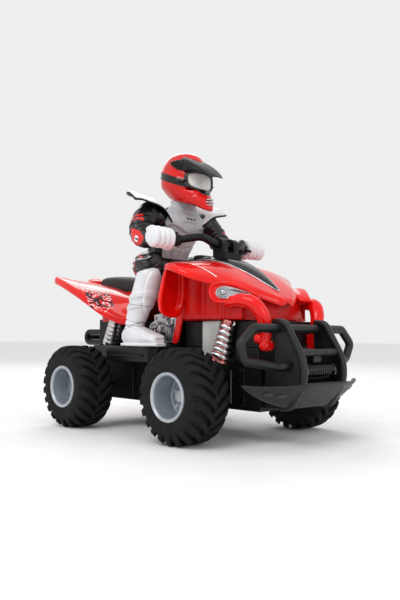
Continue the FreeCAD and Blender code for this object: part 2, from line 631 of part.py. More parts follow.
def steering():
    left = part(knuckle(), "knuckle_left")
    part(mirrored("knuckle_mirror", left), "knuckle_right")
    shank = cylinder("front_shank", "stub_r", f"{HUB_Y} + hub_len + 0.7 - (kingpin_y + 1.8)", FRONT_X,
                     "kingpin_y + 1.8",
                     AXLE_Z, "Y")
    head = cylinder("front_head", "hub_r - 0.8", "1.5", FRONT_X, f"{HUB_Y} + hub_len + 0.6", AXLE_Z, "Y")
    stub = part(fuse("front_stub", shank, head), "front_axle_left")
    part(mirrored("front_stub_mirror", stub), "front_axle_right")
    pin_low = FLOOR_Z
    pin = cylinder("kingpin", "kingpin_r",
                   AXLE_Z + " + knuckle_h / 2 + 0.7 + hull_wall - (" + pin_low + ")", FRONT_X,
                   "kingpin_y", pin_low)
    pin_head = cylinder("kingpin_head", "2", "1.2", FRONT_X, "kingpin_y",
                        AXLE_Z + " + knuckle_h / 2 + 0.7 + hull_wall")
    part(pair("kingpin_pair", fuse("kingpin_all", pin, pin_head)), "kingpins")
    bar = box("rod_bar", FRONT_X + " - arm_len - rod_w / 2", "-kingpin_y - 2.6", AXLE_Z + " + 2", "rod_w",
              "2 * kingpin_y + 5.2", "rod_h")
    slots = []
    for tag, y, x0, x1 in (("left", "kingpin_y", "0.0", "0.8"), ("right", "-kingpin_y", "0.0", "0.8"),
                           ("mid", "0", "-0.8", "0.0")):
        slots.append(box(f"rod_slot_{tag}", f"{FRONT_X} - arm_len - peg_r - 0.15 + ({x0})",
                         f"{y} - peg_r - 0.1",
                         AXLE_Z + " + 1", f"2 * peg_r + 0.3 + ({x1}) - ({x0})", "2 * peg_r + 0.2",
                         "rod_h + 2"))
    part(cut("tie_rod_all", bar, *slots), "tie_rod")
    servo_x = FRONT_X + " - 2 * arm_len"
    case = box("servo_case", servo_x + " - 5", "-9", FLOOR_Z + " + hull_wall", "12", "18",
               "axle_over_floor - hull_wall - 1.2")
    shaft = cylinder("servo_shaft", "1.5", "1.4", servo_x, "0", AXLE_Z + " - 1.6")
    part(fuse("servo", case, shaft), "steering_servo")
    horn = box("horn_bar", servo_x, "-2.2", AXLE_Z + " - 0.7", "arm_len", "4.4", "2.4")
    root = cylinder("horn_root", "3", "2.4", servo_x, "0", AXLE_Z + " - 0.7")
    tip = cylinder("horn_tip", "2.2", "2.4", servo_x + " + arm_len", "0", AXLE_Z + " - 0.7")
    peg = cylinder("horn_peg", "peg_r", "rod_h + 1.4", servo_x + " + arm_len", "0", AXLE_Z + " + 1.2")
    bore = cylinder("horn_bore", "1.5 + run_gap", "1.0", servo_x, "0", AXLE_Z + " - 1.0")
    part(cut("horn", fuse("horn_all", horn, root, tip, peg), bore), "servo_arm")


# ----------------------------------------------------------------- front guard
def front_guard():
    back = front_x + S.hull_nose
    y, t = S.upright_y, S.upright_t
    low = floor_z + 1.6
    side = [(back, deck_z - 7.2), (bumper_x - 17.5, deck_z - 6.2), (bumper_x - 19.0, deck_z + 12.4),
            (bumper_x - 12.2, deck_z + 12.9),
            (bumper_x - 1.4, deck_z - 4.6), (bumper_x - 0.9, deck_z - 15.6), (bumper_x - 10, low),
            (back, low)]
    plate = prism([(x, y - t / 2, z) for x, z in side], (0, t, 0))
    shin = prism([(bumper_x, 0, deck_z - 15.0), (bumper_x, 0, deck_z - 17.6), (bumper_x - 10.0, 0, low),
                  (bumper_x - 14, 0, low), (bumper_x - 13, 0, low + 2),
                  (bumper_x - 3.2, 0, deck_z - 15.0)],
                 (0, y + t / 2, 0))
    w = S.guard_half_w
    wing = []
    for yy, xt, zt, xb, zb in ((y, bumper_x - 0.4, deck_z - 15.4, bumper_x - 10.4, low),
                               (w * 0.62, bumper_x - 5.2, deck_z - 16.2, bumper_x - 12.4, low + 3.2),
                               (w * 0.86, bumper_x - 9.4, deck_z - 16.4, bumper_x - 13.0, low + 8.0),
                               (w - 1.5, bumper_x - 12.4, deck_z - 15.9, bumper_x - 13.4, low + 10.6)):
        wing.append([(xt, yy, zt), (xb, yy, zb), (xb - 2.6, yy, zb), (xt - 2.8, yy, zt)])
    half = plate.multiFuse([shin, ruled_loft(wing)])
    cross = Part.makeCylinder(0.85 * S.guard_tube_r, 2 * y, Vector(bumper_x - 5.6, -y, deck_z - 1.8),
                              Vector(0, 1, 0))
    guard = half.multiFuse([mirror_y(half), cross]).removeSplitter()
    part(built("guard_shape", guard), "bumper_guard")
    rail_x = bumper_x - 15.5
    ring = [(rail_x, y + t / 2, deck_z + 9.2), (rail_x, w - 10.6, deck_z + 9.2),
            (rail_x - 0.3, w - S.guard_tube_r, deck_z + 2.0),
            (rail_x - 0.8, w - S.guard_tube_r - 3.4, deck_z - 5.6), (rail_x + 3.6, y + 7, deck_z - 8.4),
            (rail_x + 7.2, y + t / 2, deck_z - 7.4)]
    loop = tube(ring, S.guard_tube_r, 3.0)
    bar = Part.makeCylinder(S.guard_tube_r, 2 * y - t, Vector(rail_x, -y + t / 2, deck_z + 9.2),
                            Vector(0, 1, 0))
    rails = Part.makeCompound([loop, mirror_y(loop), bar])
    part(built("rails_shape", rails.cut(guard)), "bumper_rails")
    winch(y - t / 2)


def winch(half_len):
    drum_x, drum_z = bumper_x - 6.6, deck_z - 10.4
    ribs, r = 9, 3.6
    pitch = 2 * half_len / (ribs + 1)
    profile = [(0, -half_len), (r, -half_len), (r, -half_len + 0.5 * pitch)]
    for i in range(ribs):
        mid = -half_len + pitch * (i + 1)
        profile += [(r - 0.8, mid - 0.30 * pitch), (r, mid - 0.12 * pitch), (r, mid + 0.12 * pitch),
                    (r - 0.8, mid + 0.30 * pitch)]
    profile += [(r, half_len - 0.5 * pitch), (r, half_len), (0, half_len)]
    drum = Part.Face(polygon([(rr, yy, 0) for rr, yy in profile])).revolve(Vector(), Vector(0, 1, 0), 360)
    drum.translate(Vector(drum_x, 0, drum_z))
    part(built("drum_shape", drum), "winch_drum")


# ----------------------------------------------------------------- body shells
FRONT_SHEET = [
    # x, outer y, crease y, heights over the deck at the outer edge, the crease and the middle
    (14.0, 14.5, 10.0, 43.0, 45.0, 46.0),
    (20.4, 36.0, 20.0, 40.6, 43.6, 45.8),
    (25.0, 40.6, 22.0, 41.0, 43.8, 45.6),
    (30.0, 42.0, 22.0, 40.8, 43.6, 45.2),
    (36.0, 42.0, 21.0, 39.0, 42.6, 43.8),
    (41.0, 41.0, 20.0, 36.4, 40.8, 41.6),
    (46.0, 34.5, 18.5, 33.8, 38.8, 39.6),
    (51.0, 28.5, 17.0, 32.4, 36.2, 36.9),
    (57.0, 22.8, 14.5, 30.8, 32.8, 33.2),
    (62.0, 18.4, 11.0, 28.4, 29.3, 29.5),
    (66.0, 13.5, 8.0, 25.8, 26.2, 26.2),
    (70.0, 7.0, 4.0, 23.0, 23.4, 23.4),
]
REAR_SHEET = [
    (-80.0, 38.5, 24.0, 41.6, 40.2, 38.8),
    (-72.0, 39.6, 24.0, 39.8, 39.0, 38.0),
    (-62.0, 40.4, 24.5, 36.2, 37.2, 36.6),
    (-50.0, 40.0, 25.0, 31.0, 34.4, 34.4),
    (-40.0, 38.8, 25.5, 25.2, 31.6, 32.2),
    (-33.0, 36.0, 25.0, 20.2, 29.0, 30.4),
    (-26.0, 30.5, 23.0, 15.4, 26.8, 29.4),
    (-20.0, 24.5, 20.0, 14.0, 26.2, 29.0),
]


def sheet_sections(rows, thick, lip=0.0):
    """Cross-sections of a folded sheet with a lip turned down along its outer edges."""
    out = []
    for x, yo, yc, zo, zc, zm in rows:
        top = [(-yo, zo), (-yc, zc), (0, zm), (yc, zc), (yo, zo)]
        under = [(yo, zo - thick - lip), (yo - 1.6, zo - thick - lip), (yo - 1.6, zo - thick),
                 (yc, zc - thick), (0, zm - thick)]
        ring = top + under + [(-y, z) for y, z in reversed(under[:-1])]
        out.append([(x, y, deck_z + z) for y, z in ring])
    return out


def below_sheet(rows, bottom):
    out = []
    for x, yo, yc, zo, zc, zm in rows:
        ring = [(-yo, bottom), (-yo, zo), (-yc, zc), (0, zm), (yc, zc), (yo, zo), (yo, bottom)]
        out.append([(x, y, deck_z + z) for y, z in ring])
    return ruled_loft(out)


def slab(x0, x1, y0, y1, z0, z1):
    """A block from its lowest to its highest corner; heights are over the deck."""
    return Part.makeBox(x1 - x0, y1 - y0, z1 - z0, Vector(x0, y0, deck_z + z0))


def pod(sign):
    """The headlight housing under the edge of the front sheet."""
    sections = []
    for x, y0, y1, z0, z1 in ((46.5, 20.0, 29.0, 21.0, 30.0), (53.0, 19.0, 31.5, 20.0, 30.6),
                              (67.5, 14.0, 19.5, 20.0, 26.0)):
        ring = [(y0, z0), (y1 - 1.5, z0), (y1, z0 + 2), (y1, z1 - 2.4), (y1 - 2.5, z1), (y0, z1)]
        sections.append([(x, sign * y, deck_z + z) for y, z in ring])
    return ruled_loft(sections)


def front_fairing():
    skin = 1.8
    inner = S.nose_half_w + 4.0
    roof = ruled_loft(sheet_sections(FRONT_SHEET, skin, 1.6))
    room = below_sheet(FRONT_SHEET, S.tower_h)
    flap_edge = [(inner, 40), (inner, 22.8), (25.6, 19.5), (29.0, 14.4), (34.0, 14.2), (38.4, 15.4),
                 (41.0, 18.2), (41.4, 21.2),
                 (39.8, 31.0), (37.6, 36.4), (36.0, 39.6)]
    sides = []
    for sign in (1, -1):
        lo, hi = sorted((sign * inner, sign * (inner + 1.6)))
        sides.append(slab(20.4, 66, lo, hi, S.tower_h, 60).common(room))
        sides.append(prism([(20.4, sign * y, deck_z + z) for y, z in flap_edge], (2.2, 0, 0)))
        sides.append(pod(sign))
        foot = [(14.6, 2.0), (17.6, 2.0), (22.4, 24.0), (20.4, 26.0)]
        sides.append(prism([(x, sign * inner, deck_z + z) for x, z in foot], (0, sign * 1.6, 0)))
        sides.append(tube([(58, sign * 26, deck_z + 20.5), (66, sign * 24.2, deck_z + 18.6),
                           (bumper_x - 21.3, sign * 19.6, deck_z + 12),
                           (bumper_x - 21.3, sign * 18.6, deck_z + 1.5)], 2.4, 7.0))
        sides.append(Part.makeSphere(3.0, Vector(69.8, sign * 18.6, deck_z + 4.2)))
    nose_wall = slab(62, 63.6, -inner, inner, S.tower_h, 40).common(room)
    lid = slab(20.4, 66, -inner, inner, S.tower_h, S.tower_h + 1.6).common(room)
    tank = slab(-6, 15, -12, 12, S.spine_h + 0.3, 44.0)
    tank = tank.cut(slab(-4.4, 15.5, -10.4, 10.4, S.spine_h - 1, 42.4))
    bridge = slab(14, 22, -12, 12, 30, 44)
    bridge = bridge.cut(slab(13, 23, -10.4, 10.4, 29, 42.4))
    shape = roof.multiFuse(sides + [nose_wall, lid, tank,
                                    bridge]).cut(finished("front_tower")).removeSplitter()
    part(built("front_fairing_shape", largest(shape)), "front_fairing")


def rear_fairing():
    skin = 1.8
    wing = ruled_loft(sheet_sections(REAR_SHEET, skin, 2.2))
    seat_floor = slab(-68, -10.5, -13, 13, 24.6, 26.6)
    room = below_sheet(REAR_SHEET, 15.5)
    walls = []
    for sign in (1, -1):
        lo, hi = sorted((sign * 11.4, sign * 13.0))
        walls.append(slab(-68, -10.5, lo, hi, 24.6, 30.5))
        lo, hi = sorted((sign * 18.4, sign * 20.0))
        walls.append(slab(-58, -17, lo, hi, 15.6, 40).common(room))
    back = slab(-58, -56.4, -19, 19, 15.6, 40).common(room)
    well = slab(-76, -5, -11.4, 11.4, 26.6, 60)
    tail = ruled_loft([[(x, -w, deck_z + zl), (x, w, deck_z + zl), (x, w * 0.7, deck_z + zh),
                        (x, -w * 0.7, deck_z + zh)]
                       for x, w, zl, zh in ((tail_x, 6.0, 39.5, 42.6), (tail_x + 6, 9.0, 38.0, 43.0),
                                            (-79.0, 13.0, 36.4, 42.2),
                                            (-73.0, 12.0, 35.5, 40.6))])
    shape = wing.multiFuse(walls + [seat_floor,
                                    back]).cut(well).fuse(tail.cut(seat_room())).removeSplitter()
    part(built("rear_fairing_shape", shape), "rear_fairing")


def seat_room():
    return seat_solid(0.02)


def seat_solid(grow=0.0):
    rows = [(-74.0, 8.0, 36.0, 41.0), (-66.0, 10.6, 32.0, 42.4), (-52.0, 11.2, 29.0, 42.0),
            (-36.0, 11.2, 27.6, 40.4),
            (-20.0, 11.2, 27.0, 39.0), (-8.0, 9.5, 27.0, 40.5)]
    sections = []
    for x, w, zl, zh in rows:
        w, zl, zh = w + grow, zl - grow, zh + grow
        sections.append([(x, -w, deck_z + zl), (x, -w, deck_z + zh - 2.4), (x, -w + 2.4, deck_z + zh),
                         (x, w - 2.4, deck_z + zh),
                         (x, w, deck_z + zh - 2.4), (x, w, deck_z + zl)])
    return ruled_loft(sections)


def seat():
    part(built("seat_shape", seat_solid()), "seat")


def hood_cover():
    """The dark cover over the steering head, tapering forward to a point between the headlights."""
    rows = [(8.0, 8.0, 44.5, 47.5), (16.0, 10.0, 44.9, 48.6), (31.0, 10.4, 44.2, 47.0),
            (45.0, 7.6, 38.6, 42.6),
            (56.0, 4.4, 32.8, 35.6), (64.5, 0.8, 27.4, 28.6)]
    sections = [[(x, -w, deck_z + zl - 1.2), (x, -w, deck_z + zl + 0.6), (x, -w * 0.5, deck_z + zh),
                 (x, w * 0.5, deck_z + zh),
                 (x, w, deck_z + zl + 0.6), (x, w, deck_z + zl - 1.2)] for x, w, zl, zh in rows]
    cover = ruled_loft(sections)
    roof = ruled_loft(sheet_sections(FRONT_SHEET, 12))
    dash = slab(8.5, 15, -5.5, 5.5, 46.5, 50.0)
    part(built("cover_shape", cover.fuse(dash).cut(roof).cut(slab(-6, 15, -12, 12, 20, 44.0))),
         "hood_cover")


def headlights():
    inner = S.nose_half_w + 4.0
    rim = []
    a, b = Vector(54.0, 30.67, deck_z + 26.0), Vector(66.5, 20.33, deck_z + 24.2)
    along = (b - a).normalize()
    out = Vector(-along.y, along.x, 0).normalize()
    if out.y < 0:
        out = out * -1
    up = Vector(0, 0, 1)
    for u, v in ((0.0, -2.2), (3.0, -3.0), (8.0, -2.6), (15.4, -0.8), (15.6, 0.2), (9.0, 2.0),
                 (3.0, 3.2), (0.0, 2.4), (-1.4, 0.0)):
        rim.append(a + along * u + up * v + out * 0.05)
    lens = Part.Face(Part.makePolygon(rim + [rim[0]])).extrude(out * 0.9)
    lamp = Part.makeSphere(1.9, a + along * 4.0 + out * 0.6)
    lamp = lamp.common(Part.Face(Part.makePolygon(rim + [rim[0]])).extrude(out * 4))
    light = lens.fuse(lamp).cut(finished("front_fairing"))
    part(built("headlight_pair", Part.makeCompound([light, mirror_y(light)])), "headlights")


def shock(name, foot, top, r_foot, r_top, rings):
    """A sprung leg: a tapered core with raised coils, from foot to top, as one turned solid."""
    base, end = Vector(*foot), Vector(*top)
    length = (end - base).Length
    pts = [(0, 0), (r_foot, 0), (r_foot, 0.06 * length)]
    for i in range(rings):
        z0 = length * (0.08 + 0.84 * i / rings)
        z1 = length * (0.08 + 0.84 * (i + 1) / rings)
        r = r_foot + (r_top - r_foot) * (i + 0.5) / rings
        pts += [(r - 0.7, z0), (r, z0 + 0.3 * (z1 - z0)), (r, z0 + 0.7 * (z1 - z0)), (r - 0.7, z1)]
    pts += [(r_top, 0.94 * length), (r_top, length), (0, length)]
    solid = Part.Face(polygon([(r, 0, z) for r, z in pts])).revolve(Vector(), Vector(0, 0, 1), 360)
    solid.Placement = Placement(base, Rotation(Vector(0, 0, 1), end - base))
    return solid


def shocks():
    y = S.nose_half_w + 3.4
    front = shock("front", (49.0, y + 2.4, deck_z - 6.4), (54.0, y + 0.6, deck_z + S.tower_h + 0.6),
                  4.6, 2.9, 6)
    front = front.cut(slab(30, 70, 0, 60, -20, -5.2)).cut(slab(30, 70, 0, 60, S.tower_h,
                                                               30)).cut(slab(30, 70, 0,
                                                                       S.nose_half_w + 1, -20, 30))
    part(built("front_shock_pair", Part.makeCompound([front, mirror_y(front)])), "front_shocks")
    rear = shock("rear", (-44.4, 20.4, deck_z - 1.0), (-37.6, 20.8, deck_z + 15.6), 4.2, 3.0, 6)
    rear = rear.cut(slab(-70, -20, 0, 60, -20, 0))
    rear = largest(rear.cut(finished("rear_fairing")).cut(finished("rear_tower")))
    part(built("rear_shock_pair", Part.makeCompound([rear, mirror_y(rear)])), "rear_shocks")


def side_trim():
    y = S.nose_half_w + 1.0
    plate = prism([(35, y, deck_z - 5), (42.4, y, deck_z - 5), (47.5, y, deck_z + S.tower_h),
                   (35, y, deck_z + S.tower_h)],
                  (0, 2.4, 0))
    part(built("side_plate_pair", Part.makeCompound([plate, mirror_y(plate)])), "side_plates")
    links = []
    link = 1.7
    x0, x1 = rear_x + S.tyre_d / 2 - 1.5, front_x - S.tyre_d / 2 - 11.5
    n = int((x1 - x0) / (2 * link))
    pts = [(x0, 0), (x0 + 2 * link * n, 0)]
    for i in range(n, 0, -1):
        pts += [(x0 + link * (2 * i - 0.4), 1.1), (x0 + link * (2 * i - 1.0), 0.55),
                (x0 + link * (2 * i - 1.6), 1.1)]
    chain = prism([(x, S.board_half_w, deck_z - 5.2 + z) for x, z in pts], (0, 0.8, 0))
    part(built("chain_pair", Part.makeCompound([chain, mirror_y(chain)])), "drive_chains")


def engine():
    y = S.spine_half_w
    case = prism([(-6, y, deck_z + 2), (14.2, y, deck_z + 2), (17, y, deck_z + 16),
                  (8, y, deck_z + 18.6), (-6, y, deck_z + 17)],
                 (0, 8.4, 0))
    drum = Part.makeCylinder(5.0, 10.6, Vector(-2.6, y, deck_z + 8.6), Vector(0, 1, 0))
    ring = Part.makeCylinder(3.6, 1.0, Vector(-2.6, y + 9.8, deck_z + 8.6), Vector(0, 1, 0))
    cap = Part.makeCylinder(3.0, 9.4, Vector(7.6, y, deck_z + 13.2), Vector(0, 1, 0))
    cover = case.multiFuse([drum, cap]).cut(ring)
    cover = cover.fuse(Part.makeCylinder(2.2, 10.3, Vector(-2.6, y, deck_z + 8.6), Vector(0, 1, 0)))
    part(built("engine_pair", Part.makeCompound([cover, mirror_y(cover)])), "engine_covers")


def grab_bar():
    x = rear_x - S.hull_tail + 0.5
    y, back = 12.0, -82.0
    loop = tube([(x, y, deck_z + 8), (back, y, deck_z + 8), (back, y, deck_z + 1.5),
                 (x, y, deck_z + 1.5)], 1.7, 3.0)
    bar = Part.makeCylinder(1.7, 2 * y, Vector(back + 0.0, -y, deck_z + 4.8), Vector(0, 1, 0))
    bars = loop.multiFuse([mirror_y(loop), bar]).removeSplitter()
    part(built("grab_shape", largest(bars.cut(finished("rear_tower")).cut(finished("chassis_deck")))),
         "grab_bar")


# ----------------------------------------------------------------- bars
def grip_centre():
    return 16.0, deck_z + 55.0


def handlebar():
    gx, gz = grip_centre()
    cx, cz = gx + 13.0, gz - 1.2
    outer = S.grip_y + S.grip_len / 2
    half = [(gx, outer, gz), (gx, S.grip_y - S.grip_len / 2, gz), (gx + 11.0, 15.0, gz + 2.4),
            (cx, 8.6, cz), (cx, 6.0, cz)]
    path = half + [(x, -y, z) for x, y, z in reversed(half)]
    pieces = []
    for sign in (1, -1):
        y0 = sign * S.grip_y - S.grip_len / 2
        pieces.append(Part.makeCylinder(S.grip_r, S.grip_len, Vector(gx, y0, gz), Vector(0, 1, 0)))
        lo = sign * (S.grip_y - S.grip_len / 2 - 2.5) - 2.0
        pieces.append(Part.makeBox(6.0, 4.0, 6.4, Vector(gx - 2.2, lo, gz - 3.0)))
    part(built("bar_shape", tube(path, S.bar_r, 3.0).multiFuse(pieces)), "handlebar")
    ears = []
    for y0 in (2.4, -6.2):
        ears.append(Part.makeBox(7.2, 3.8, 9.0, Vector(cx - 3.6, y0, deck_z + 45.0)))
        ears.append(Part.makeCylinder(3.6, 3.8, Vector(cx, y0, cz), Vector(0, 1, 0)))
    block = Part.makeBox(9.0, 12.4, 5.4, Vector(cx - 3.6, -6.2, deck_z + 44.0))
    bore = Part.makeCylinder(S.bar_r, 40, Vector(cx, -20, cz), Vector(0, 1, 0))
    riser = block.multiFuse(ears).cut(bore).cut(under_riser()).removeSplitter()
    part(built("riser_shape", max(riser.Solids, key=lambda s: s.Volume)), "handlebar_riser")


def under_riser():
    """The space that the cover fills under the riser, so that the riser sits down onto it."""
    return finished("hood_cover").fuse(finished("front_fairing"))


# ----------------------------------------------------------------- rider
SHOULDER_X = -9.0
SHOULDER_Z = 73.5            # over the deck
NECK_X_MM = -6.5


def torso_sections(grow=0.0):
    rows = [(-21.0, 44.0, 9.0, 12.0), (-20.5, 51.0, 8.5, 11.6), (-16.0, 61.0, 9.4, 13.6),
            (-12.5, 69.0, 10.0, 15.6),
            (-10.0, 75.0, 8.0, 14.4), (-8.0, 78.6, 5.0, 6.5)]
    return [((x, 0, deck_z + z), a + grow, b + grow) for x, z, a, b in rows]


def limb(points):
    """A rounded limb through (x, y, height over the deck, radius) stations."""
    stations = [Vector(x, y, deck_z + z) for x, y, z, r in points]
    sections = []
    for i, (x, y, z, r) in enumerate(points):
        before = stations[max(i - 1, 0)]
        after = stations[min(i + 1, len(stations) - 1)]
        way = after - before
        sections.append((tuple(stations[i]), r, r, tuple(way), (1, 0, 0)
                         if abs(way.x) < abs(way.z) else (0, 0, 1)))
    return oval_loft(sections)


def finished(label):
    """The shape of a sub-part that is already named."""
    obj = [p for p in PARTS if p.Label == label][0]
    if obj.Shape.isNull():
        doc.recompute()
    return obj.Shape


def largest(shape):
    return max(shape.Solids, key=lambda s: s.Volume)


def ball(r, x, y, z):
    return Part.makeSphere(r, Vector(x, y, deck_z + z))


def rider_torso():
    """Trunk and neck, with a peg on each side that carries an arm."""
    body = oval_loft(torso_sections())
    body = body.fuse(Part.makeCylinder(S.neck_r, 12.5, Vector(NECK_X_MM, 0, deck_z + 76),
                                       Vector(0, 0, 1)))
    for sign in (1, -1):
        body = body.cut(ball(7.0, SHOULDER_X, sign * S.shoulder_y, SHOULDER_Z))
    reach = S.shoulder_y - 2.0
    body = body.fuse(Part.makeCylinder(1.6, 2 * reach, Vector(SHOULDER_X, -reach, deck_z + SHOULDER_Z),
                                       Vector(0, 1, 0)))
    part(built("torso_shape", body), "rider_torso")


def chest_protector():
    body = finished("rider_torso")
    shell = oval_loft(torso_sections(1.5)).cut(oval_loft(torso_sections(0.02)))
    front = slab(-10.0, 30, -12.0, 12.0, 57.0, 80.6)
    yoke = slab(-17.0, 30, -15.0, 15.0, 73.4, 80.6)
    pieces = [shell.common(front), shell.common(yoke)]
    for sign in (1, -1):
        pieces.append(oval_loft([((-8.6, sign * y, deck_z + z), thick, wide, (0, 1, 0), (1, 0, 0))
                                 for y, z, thick, wide in
                                 ((9.5, 78.6, 1.5, 6.0), (16.0, 80.4, 1.9, 8.6), (24.0, 82.6, 1.9, 9.4),
                                  (29.0, 82.8, 1.5, 8.0), (33.0, 81.4, 0.8, 4.6))]))
    guard = pieces[0].multiFuse(pieces[1:])
    for sign in (1, -1):
        guard = guard.cut(ball(7.4, SHOULDER_X, sign * S.shoulder_y, SHOULDER_Z))
    collar = Part.makeCylinder(S.neck_r + 3.4, 20, Vector(NECK_X_MM, 0, deck_z + 70), Vector(0, 0, 1))
    part(built("protector_shape", largest(guard.cut(body).cut(collar))), "chest_protector")


def rider_legs():
    hips = oval_loft([((-22, 0, deck_z + 39.4), 10.5, 14.5), ((-22, 0, deck_z + 44.4), 10.0, 13.0)])
    pieces = []
    for sign in (1, -1):
        pieces.append(limb([(-25, sign * 8, 44.0, 7.4), (-13, sign * 19, 44.5, 8.2),
                            (-3, sign * 28, 42.0, 7.4), (3, sign * 32, 37.0, 6.0)]))
        pieces.append(ball(5.9, 3, sign * 32, 37.0))
    legs = hips.multiFuse(pieces)
    for label in ("seat", "front_fairing", "rear_fairing", "rider_torso"):
        legs = legs.cut(finished(label))
    part(built("legs_shape", largest(legs)), "rider_legs")


def boots():
    legs = finished("rider_legs")
    pair_of = []
    for sign in (1, -1):
        y = sign * 34.5
        shaft = limb([(4, sign * 32, 38.5, 6.3), (0.5, sign * 33.5, 26, 6.0), (-4.5, y, 12, 5.0),
                      (-6, y, 5, 5.2)])
        foot = oval_loft([((x, y, deck_z + z), a, b, (1, 0, 0), (0, 1, 0)) for x, z, a, b in
                          ((-11.5, 3.8, 3.8, 3.8), (-5, 4.4, 4.4, 4.7), (5, 3.9, 3.9, 4.8),
                           (14.5, 3.0, 3.0, 4.0))])
        heel, toe = ball(3.8, -11.5, y, 3.8), ball(3.0, 14.5, y, 3.0)
        sole = Part.makeBox(25, 8.0, 1.8, Vector(-11.5, y - 4.0, deck_z))
        rounds = [Part.makeCylinder(4.0, 1.8, Vector(x, y, deck_z), Vector(0, 0, 1))
                  for x in (-11.5, 13.5)]
        boot = shaft.multiFuse([foot, heel, toe, sole] + rounds).cut(legs).cut(slab(-60, 60, -60, 60,
                -20, 0))
        pair_of.append(largest(boot))
    part(built("boots_shape", Part.makeCompound(pair_of)), "boots")


def arms():
    """Each arm turns at the shoulder on the torso's peg; its glove is a hook that lifts off the grip."""
    gx, gz = grip_centre()
    for side, sign in (("left", 1), ("right", -1)):
        sleeve = limb([(x, sign * y, z, r) for x, y, z, r in
                       ((SHOULDER_X, S.shoulder_y, SHOULDER_Z, 6.0), (-7.5, 27.8, 68.0, 5.7),
                        (-3.0, 31.6, 61.5, 5.3),
                        (4.0, 33.6, 57.8, 4.5), (10.5, 34.4, 56.4, 3.6))])
        sleeve = sleeve.fuse(ball(6.4, SHOULDER_X, sign * S.shoulder_y, SHOULDER_Z))
        start = sign * (S.shoulder_y - 1.6) - (12 if sign > 0 else 0)
        sleeve = sleeve.cut(Part.makeCylinder(1.68, 12, Vector(SHOULDER_X, start, deck_z + SHOULDER_Z),
                                              Vector(0, 1, 0)))
        part(built(f"sleeve_{side}_shape", largest(sleeve)), f"sleeve_{side}")
        palm = Part.makeBox(10.4, 12.6, 10.4, Vector(gx - 5.2, sign * S.grip_y - 6.3, gz - 4.2))
        palm = palm.makeFillet(2.6, palm.Edges)
        r = S.grip_r + 0.2
        swing = (Vector(SHOULDER_X, 0, deck_z + SHOULDER_Z) - Vector(gx, 0, gz)).normalize()
        way = Vector(swing.z, 0, -swing.x)
        if way.z > 0:
            way = way * -1
        centre = Vector(gx, 0, gz)
        corners = [centre + swing * r, centre + swing * (r + 0.9) + way * 14,
                   centre - swing * (r + 0.9) + way * 14, centre - swing * r]
        mouth = prism([(c.x, -60, c.z) for c in corners], (0, 120, 0))
        hollow = Part.makeCylinder(r, 120, Vector(gx, -60, gz), Vector(0, 1, 0))
        glove = palm.cut(hollow).cut(mouth).cut(sleeve)
        part(built(f"glove_{side}_shape", largest(glove)), f"glove_{side}")


def rider():
    rider_torso()
    chest_protector()
    rider_legs()
    boots()
    arms()


def helmet():
    top = S.helmet_top - deck_z
    shell = oval_loft([((x, 0, deck_z + top - drop), a, b) for x, drop, a, b in
                       ((-6.0, 29.4, 7.6, 7.8), (-4.6, 26.0, 11.6, 9.8), (-4.0, 21.0, 13.6, 11.4),
                        (-3.8, 15.5, 14.4, 12.0))])
    dome = Part.makeSphere(1.0)
    stretch = FreeCAD.Matrix()
    stretch.scale(14.4, 12.0, 15.5)
    dome = dome.transformGeometry(stretch)
    dome.translate(Vector(-3.8, 0, deck_z + top - 15.5))
    dome = dome.cut(slab(-40, 40, -40, 40, top - 40, top - 15.5))
    chin = oval_loft([((x, 0, deck_z + top - drop), a, b, (1, 0, 0.15), (0, 1, 0)) for x, drop, a, b in
                      ((2.0, 28.6, 3.4, 8.0), (8.0, 28.4, 4.2, 8.0), (12.6, 27.6, 3.8, 6.6),
                       (15.6, 27.0, 2.6, 4.4))])
    eyes = slab(6.4, 20, -9.8, 9.8, top - 23.6, top - 14.2)
    neck_room = Part.makeCylinder(S.neck_r + S.run_gap, 12.5, Vector(NECK_X_MM, 0, deck_z + 76),
                                  Vector(0, 0, 1))
    shell = shell.multiFuse([dome, chin]).cut(eyes).cut(neck_room)
    part(built("helmet_shape", largest(shell)), "helmet")
    peak = ruled_loft([[(x, -w, deck_z + top - hi), (x, w, deck_z + top - hi),
                        (x, w + 1.2, deck_z + top - lo), (x, -w - 1.2, deck_z + top - lo)]
                       for x, w, hi, lo in ((4.0, 8.6, 4.4, 14.0), (10.0, 9.2, 8.0, 14.0),
                                            (16.0, 8.0, 12.6, 15.6), (21.8, 5.4, 16.6, 17.8))])
    inside = slab(2, 22.5, -7.6, 7.6, top - 22, top - 15.0)
    peak = largest(peak.cut(shell).cut(eyes.common(slab(0, 12.0, -20, 20, 0, 200))).cut(inside))
    part(built("peak_shape", peak), "helmet_peak")
    frame = slab(6.5, 11.2, -9.6, 9.6, top - 23.5,
                 top - 14.3).cut(slab(9.4, 12, -7.8, 7.8, top - 22.0, top - 15.6))
    frame = largest(frame.cut(shell).cut(peak))
    part(built("goggle_frame_shape", frame), "goggles")
    lens = slab(9.4, 10.8, -7.7, 7.7, top - 21.9, top - 15.7).cut(frame).cut(peak).cut(shell)
    part(built("lens_shape", largest(lens)), "goggle_lens")


def fasteners():
    screws = []
    for i, (x, y) in enumerate((("-wheelbase / 2 - hull_tail + 5", "0"),
                                (FRONT_X + " + hull_nose - 5", "10"),
                                (FRONT_X + " + hull_nose - 5", "-10"))):
        head = cylinder(f"screw_head_{i}", "2", "1.2", x, y, FLOOR_Z + " + hull_wall")
        shank = cylinder(f"screw_shank_{i}", "kingpin_r", "8", x, y, FLOOR_Z + " + hull_wall + 1")
        screws.append(fuse(f"screw_{i}", head, shank))
    part(group("screws", *screws), "chassis_screws")


